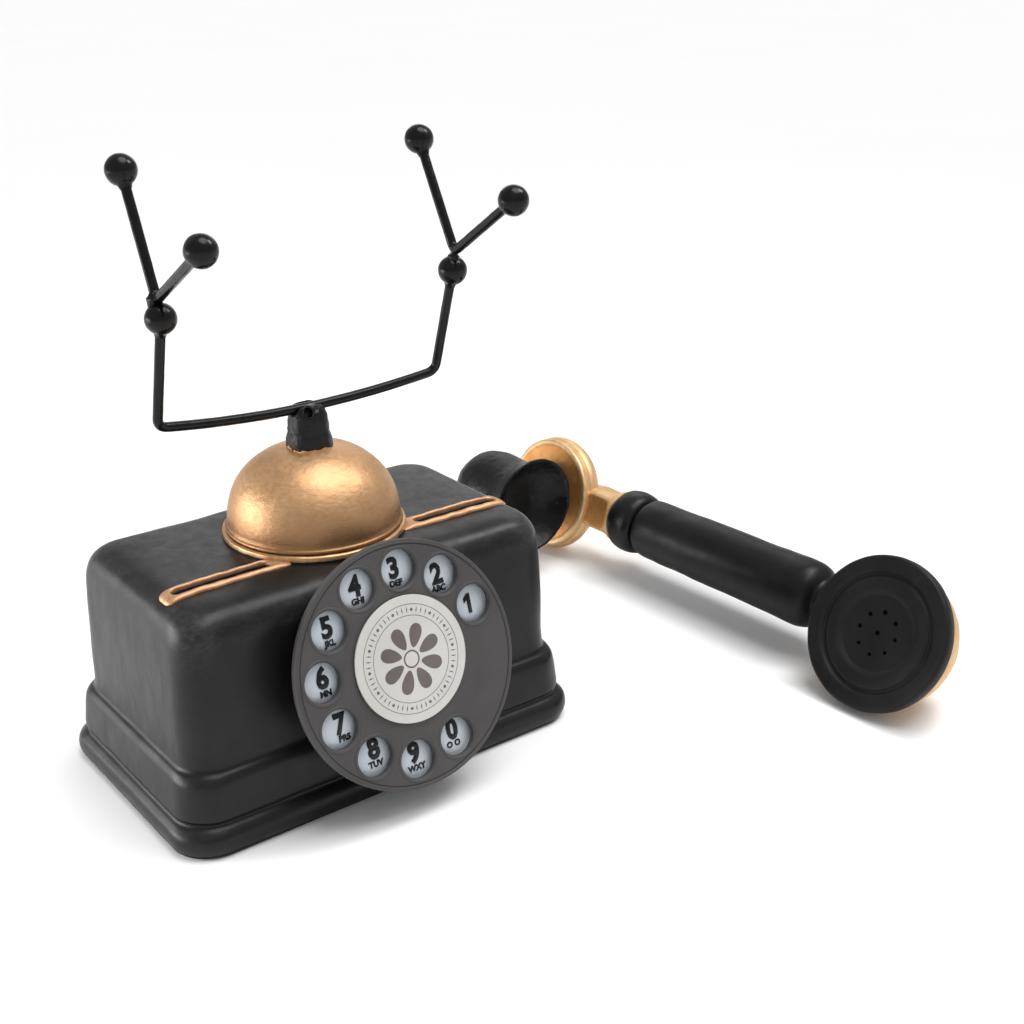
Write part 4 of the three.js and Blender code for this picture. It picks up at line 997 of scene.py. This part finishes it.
def lettering(name, text, height, centre, squeeze, stroke, seed, shake):
    """Raised characters that lie on the number plate's face."""
    if text == "1":
        curve = flat_curve(name)
        spline = curve.splines.new("POLY")
        spline.points.add(len(FIGURE_ONE) - 1)
        for point, (x, y) in zip(spline.points, FIGURE_ONE):
            point.co = (x, y, 0, 1)
        spline.use_cyclic_u = True
    else:
        curve = bpy.data.curves.new(name, "FONT")
        curve.body = text
        curve.align_x = "CENTER"
        curve.align_y = "CENTER"
        curve.size = height / CAPITALS
        curve.offset = stroke
    curve.extrude = 0.1
    curve.bevel_depth = 0.09
    curve.bevel_resolution = 2
    curve.resolution_u = 6
    piece = from_curve(name, curve, HERE, 50)
    xs = [v.co.x for v in piece.data.vertices]
    ys = [v.co.y for v in piece.data.vertices]
    middle = Vector(((min(xs) + max(xs)) / 2, (min(ys) + max(ys)) / 2, 0))
    for v in piece.data.vertices:
        local = (v.co - middle) / MM
        jitter = shake * noise.noise_vector(Vector((local.x / 0.9, local.y / 0.9, seed)))
        x = centre.x + local.x * squeeze + jitter.x
        y = centre.y + local.y + jitter.y
        z = PLATE_FRONT + dome_height(x, y) + DIGIT_LIFT + local.z
        v.co = (DIAL @ Vector((x, y, z))) * MM
    return tidy(piece, 50)


# (digit, its offset from the finger hole's middle, letters, their offset)
DIGITS = [
    ("1", (-0.6, -0.1), "", (0, 0)), ("2", (-0.1, 0.25), "ABC", (-0.2, -4.7)),
    ("3", (-0.55, 0.4), "DEF", (-0.4, -4.65)), ("4", (0.35, 0.8), "GHI", (0.65, -4.1)),
    ("5", (0.4, 0.9), "JKL", (0.6, -4.45)), ("6", (1.2, 1.1), "MN", (1.55, -4.05)),
    ("7", (1.8, 0.95), "PRS", (2.3, -3.65)), ("8", (1.2, 2.2), "TUV", (1.1, -2.85)),
    ("9", (0.25, 1.8), "WXY", (0.35, -3.2)), ("0", (0, 2.2), "O O", (-0.35, -2.7)),
]
DIGIT_HEIGHT, LETTER_HEIGHT, DIGIT_LIFT = 6.4, 1.9, 0.05


def build_digits():
    for i, (digit, offset, letters, beneath) in enumerate(DIGITS):
        centre = hole_centre(i) + Vector(offset)
        piece = lettering(f"digit_{digit}", digit, DIGIT_HEIGHT, centre,
                          squeeze=0.9, stroke=0.34, seed=i * 3.7, shake=0.16)
        if letters:
            centre = hole_centre(i) + Vector(beneath)
            joined(piece, lettering("letters", letters, LETTER_HEIGHT, centre,
                                    squeeze=1.0, stroke=0.05, seed=i * 5.1, shake=0.04))
        dress(piece, DIGIT, "base", "black_enamel")


def build_case():
    case = lathe("dial_back", rounded([
        (0, CASE_FRONT), (CASE_RADIUS, CASE_FRONT), (CASE_RADIUS, CASE_FRONT - 2.4),
        (CASE_WEDGE_RADIUS + 1, CASE_FRONT - 2.6), (CASE_WEDGE_RADIUS, CASE_FRONT - 4.5),
        (CASE_WEDGE_RADIUS, CASE_BACK), (0, CASE_BACK)], 0.7), DIAL, 128)
    uneven(case, 8, 0.2, 12)
    dress(case, BLACK, "base", "black_paint", "dial_case")


# ---- handset ----

def build_grip():
    line = [(0, 37.6), (9.5, 37.6), (11.8, 37.2), (12.7, 35.6), (13.0, 33), (13.1, 20), (13.4, 0),
            (13.65, -30), (13.8, -48), (13.5, -52), (12.5, -55), (10.6, -57.2), (8.9, -58.4),
            (8.5, -60.5), (8.5, -70), (8.5, -80)]
    grip = lathe("grip_handle", [*smooth_outline(line), (0, -80)], HANDSET @ ALONG, 96, 60)
    uneven(grip, 16, 0.6, 13)
    uneven(grip, 5, 0.12, 14)
    dress(grip, BLACK, "handset", "black_paint", "handset_grip")
    bead_line = [(0, 37.9), (9.6, 37.9), (11.8, 38.6), (13.2, 40.6), (13.75, 43.5), (13.75, 47),
                 (13.1, 49.9), (11.6, 51.6), (9.6, 52.0), (0, 52.0)]
    bead = lathe("grip_bead", smooth_outline(bead_line), HANDSET @ ALONG, 96, 60)
    uneven(bead, 9, 0.5, 15)
    dress(bead, BLACK_ROUGH, "handset", "black_paint", "handset_bead")


def build_neck():
    rings = []
    # (place along the handset, half width, roundness from square to round)
    for y, half, share in ((52.3, 10.9, 1.0), (52.8, 11.5, 1.0), (53.6, 11.5, 0.98),
                           (54.6, 10.4, 0.85), (55.8, 9.1, 0.5), (57.4, 8.6, 0.36), (61, 8.5, 0.33),
                           (65, 8.5, 0.33), (67.4, 8.8, 0.45), (69, 9.4, 0.7), (72.5, 9.4, 1.0)):
        outline = rounded_rectangle(half, half, half * share * 0.995, 10, (6, 6))
        rings.append([(p.x, y, p.y) for p in outline])
    neck = loft("gold_neck", rings, HANDSET_END, 35)
    uneven(neck, 5, 0.3, 16)
    dress(neck, GOLD, "handset", "gold_paint", "handset_neck")
    neck.data.materials.append(GOLD_SHADED_FACE.made)
    # painted shade: the flat front faces take the darker gold
    front = HANDSET_END.to_3x3() @ Vector((-1, 0, 0))
    for polygon in neck.data.polygons:
        if polygon.normal.dot(front) > 0.93:
            polygon.material_index = 1


def build_end():
    f, r = END_FRONT, END_RADIUS
    face = [*((k, f - 0.6) for k in (0, 5, 9, 13, 17, r - 5.4)), (r - 4.2, f - 0.5),
            (r - 3.0, f - 0.1), (r - 2.1, f), (r - 1.3, f - 0.3),
            (r - 0.9, f - 1.2), (r - 0.9, f - 2.9), (r - 1.3, f - 3.4), (r - 0.5, f - 4.0),
            (r, f - 5.4), (r, f - 6.8), (r - 0.4, f - 8.4), (r - 1.7, f - 10.4), (r - 5, f - 12.8),
            (r - 12, f - 15), (0, f - 16)]
    disc = lathe("gold_disc", rounded(face, 0.7), END, 128, 50)
    uneven(disc, 8, 0.3, 17)
    dress(disc, GOLD, "handset", "gold_paint", "transmitter_cup")
    disc.data.materials.append(GOLD_SHADED_FACE.made)
    # painted shade: the disc's flat front face takes the darker gold
    inverse = END.inverted()
    for polygon in disc.data.polygons:
        local = inverse @ (polygon.center / MM)
        if local.z > f - 2.0 and local.xy.length < r - 3.4:
            polygon.material_index = 1


def build_horn():
    reach, mouth = HORN_REACH, -25.0
    place = HANDSET_END @ at(-reach, END_Y + HORN_SHIFT, 0) @ ALONG
    line = [(0, 18), (5, 17.4), (9.6, 15.4), (13.6, 12), (16.4, 7.6), (17.6, 2.4), (17.6, -3),
            (17.3, -8), (17.3, -12.6), (17.9, -16.6), (19.2, -20.4), (20.8, -23.2), (21.4, -24.4),
            (21.2, mouth - 0.2), (20.4, mouth - 0.4), (19.6, mouth + 0.2), (18.8, mouth + 1.5),
            (17.4, mouth + 3.6), (15, mouth + 6.2), (11.6, mouth + 8.6), (7, mouth + 10.2),
            (0, mouth + 10.8)]
    body = lathe("horn_body", smooth_outline(line), place, 128)
    stub_line = [(0, 14.9), (12.6, 14.9), (13.0, 17), (13.3, 22), (14.2, 26.2), (14.9, 27.5),
                 (0, 27.5)]
    elbow = HANDSET_END @ at(-reach, END_Y, 0) @ rotation(90, "Y")
    stub = lathe("horn_stub", rounded(stub_line, 1.5), elbow, 80)
    joined(body, stub)
    remeshed(body, 0.42, 8)
    uneven(body, 9, 0.4, 18)
    uneven(body, 2.4, 0.1, 19)
    dress(body, BLACK_ROUGH, "handset", "black_paint", "mouthpiece_horn")


def build_ear():
    r = EAR_CUP_RADIUS
    cup_line = [(0, -6.6), (22.8, -6.6), (22.8, -5.7), (r - 0.2, -5.7), (r, -6.4), (r, -9.2),
                (r - 0.5, -11.4), (r - 1.3, -13.6), (r - 3.3, -17.6), (r - 5.8, -21.6),
                (r - 9.2, -25), (r - 16, -27.7), (r - 21, -28.5), (0, -28.7)]
    cup = lathe("ear_shell", rounded(cup_line, 1.4, 6), EAR @ at(0, -EAR_CUP_SHIFT, 0), 128, 50)
    uneven(cup, 8, 0.35, 20)
    dress(cup, GOLD, "handset", "gold_paint", "ear_cup")
    r = EAR_CAP_RADIUS
    cap_line = [(0, -5.2), (r - 0.6, -5.2), (r - 0.1, -4.6), (r, -2.4), (r - 0.25, -0.8),
                (r - 0.9, -0.15), (r - 2, 0.0), (0.81 * r, -0.15), (0.78 * r, -0.5),
                (0.765 * r, -1.35), (0.735 * r, -1.45), (0.715 * r, -0.8), (0.68 * r, -0.45),
                (0.6 * r, -0.35), (0.55 * r, -0.45), (0.51 * r, -1.1), (0.48 * r, -1.7),
                (0.2 * r, -1.9), (0, -1.9)]
    cap = lathe("listening_cap", rounded(cap_line, 0.5, 4), EAR, 144, 50)
    uneven(cap, 7, 0.12, 21)
    tools, round_holes = [], 8
    for k in range(round_holes + 1):    # the last one is the hole in the middle
        a = TURN * k / round_holes
        reach = 8 + 0.35 * math.sin(5.0 * k) if k < round_holes else 0
        hole = 0.95 + 0.14 * math.cos(7.0 * k)
        spot = EAR @ at(reach * math.cos(a), reach * math.sin(a), 0)
        tools.append(lathe(f"drill_{k}", [
            (0, -4), (hole * 0.6, -3.9), (hole * 0.9, -2), (hole * 1.05, -1.5), (hole * 1.9, -1.1),
            (hole * 2.0, 1), (0, 1)], spot, 20))
    cut(cap, *tools, sharp=50)
    dress(cap, BLACK_MATTE, "handset", "black_paint", "ear_cap")


# ---- build everything ----

build_housing()
build_trim("left", -1)
build_trim("right", 1)
build_base()
build_gong()
build_cradle()
build_post()
build_wheel()
build_label()
build_number_plate()
build_digits()
build_case()
build_grip()
build_neck()
build_end()
build_horn()
build_ear()

CAD_LOOKS = {
    "base_plate": BOARD, "dial_bush": BRASS,
    **{node: STEEL for node in (
        "gong_stud", "gong_washer", "gong_nut", "dial_spindle", "dial_washer", "dial_nut",
        "handset_tie_rod", *(f"base_screw_{n}" for n in (1, 2, 3, 4)))},
}
for node, look in CAD_LOOKS.items():
    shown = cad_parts[node]
    paint_all(shown, look)
    edges = shown.modifiers.new("worn_edges", "BEVEL")
    edges.width = 0.12 * MM
    edges.segments = 2
    edges.limit_method = "ANGLE"


# ---- floor, lights, camera ----

def build_floor():
    paint = Paint("floor_paper", roughness=0.9)
    paint.colour(paint.ramp(paint.noise(300, 2), [(0.3, 0.89), (0.7, 0.9)]))
    half, z = 20000, -0.2
    corners = [(x * half, y * half, z) for x, y in ((-1, -1), (1, -1), (1, 1), (-1, 1))]
    sheet = mesh("floor", corners, [(0, 1, 2, 3)])
    paint_all(sheet, paint)


def aim(lamp, direction):
    lamp.rotation_mode = "QUATERNION"
    lamp.rotation_quaternion = direction.to_track_quat("-Z", "Y")


def area_light(name, place, target, size, power, spread=180):
    data = bpy.data.lights.new(name, "AREA")
    data.shape = "RECTANGLE"
    data.size, data.size_y = size[0] * MM, size[1] * MM
    data.energy = power
    data.spread = math.radians(spread)
    lamp = placed(name, data)
    lamp.location = Vector(place) * MM
    aim(lamp, Vector(target) - Vector(place))


def build_lights():
    world = bpy.data.worlds.new("studio")
    world.use_nodes = True
    back = world.node_tree.nodes["Background"]
    back.inputs["Color"].default_value = (1, 1, 1, 1)
    back.inputs["Strength"].default_value = 0.5
    bpy.context.scene.world = world
    middle = (20, 0, 70)
    area_light("left_fill", (-300, 130, 70), (-78, -5, 15), (380, 200), 0.3, 60)
    area_light("right_box", (412, -140, 630), middle, (190, 190), 1.2)
    area_light("back_box", (450, 590, 400), middle, (600, 320), 0.65)
    data = bpy.data.lights.new("key", "SUN")
    data.energy = 2.0
    data.angle = math.radians(42)
    toward_sun = Vector((0.18, -0.17, 0.97))
    aim(placed("key", data), -toward_sun)
    bpy.context.scene.view_settings.view_transform = "Standard"


def build_camera():
    place, lens = (-224.5, -405.7, 274.1), 51.72
    azimuth, elevation, roll = -37.24, 22.57, -0.60
    a, e, tilt = (math.radians(d) for d in (azimuth, elevation, roll))
    back = Vector((math.sin(a) * math.cos(e), -math.cos(a) * math.cos(e), math.sin(e)))
    right = Vector((math.cos(a), math.sin(a), 0))
    up = back.cross(right)
    turned_right = math.cos(tilt) * right + math.sin(tilt) * up
    turned_up = math.cos(tilt) * up - math.sin(tilt) * right
    data = bpy.data.cameras.new("camera")
    data.lens = lens
    data.sensor_width = 36
    camera = placed("camera", data)
    camera.matrix_world = at(*(Vector(place) * MM)) @ Matrix(
        (turned_right, turned_up, back)).transposed().to_4x4()
    bpy.context.scene.camera = camera


build_floor()
build_lights()
build_camera()
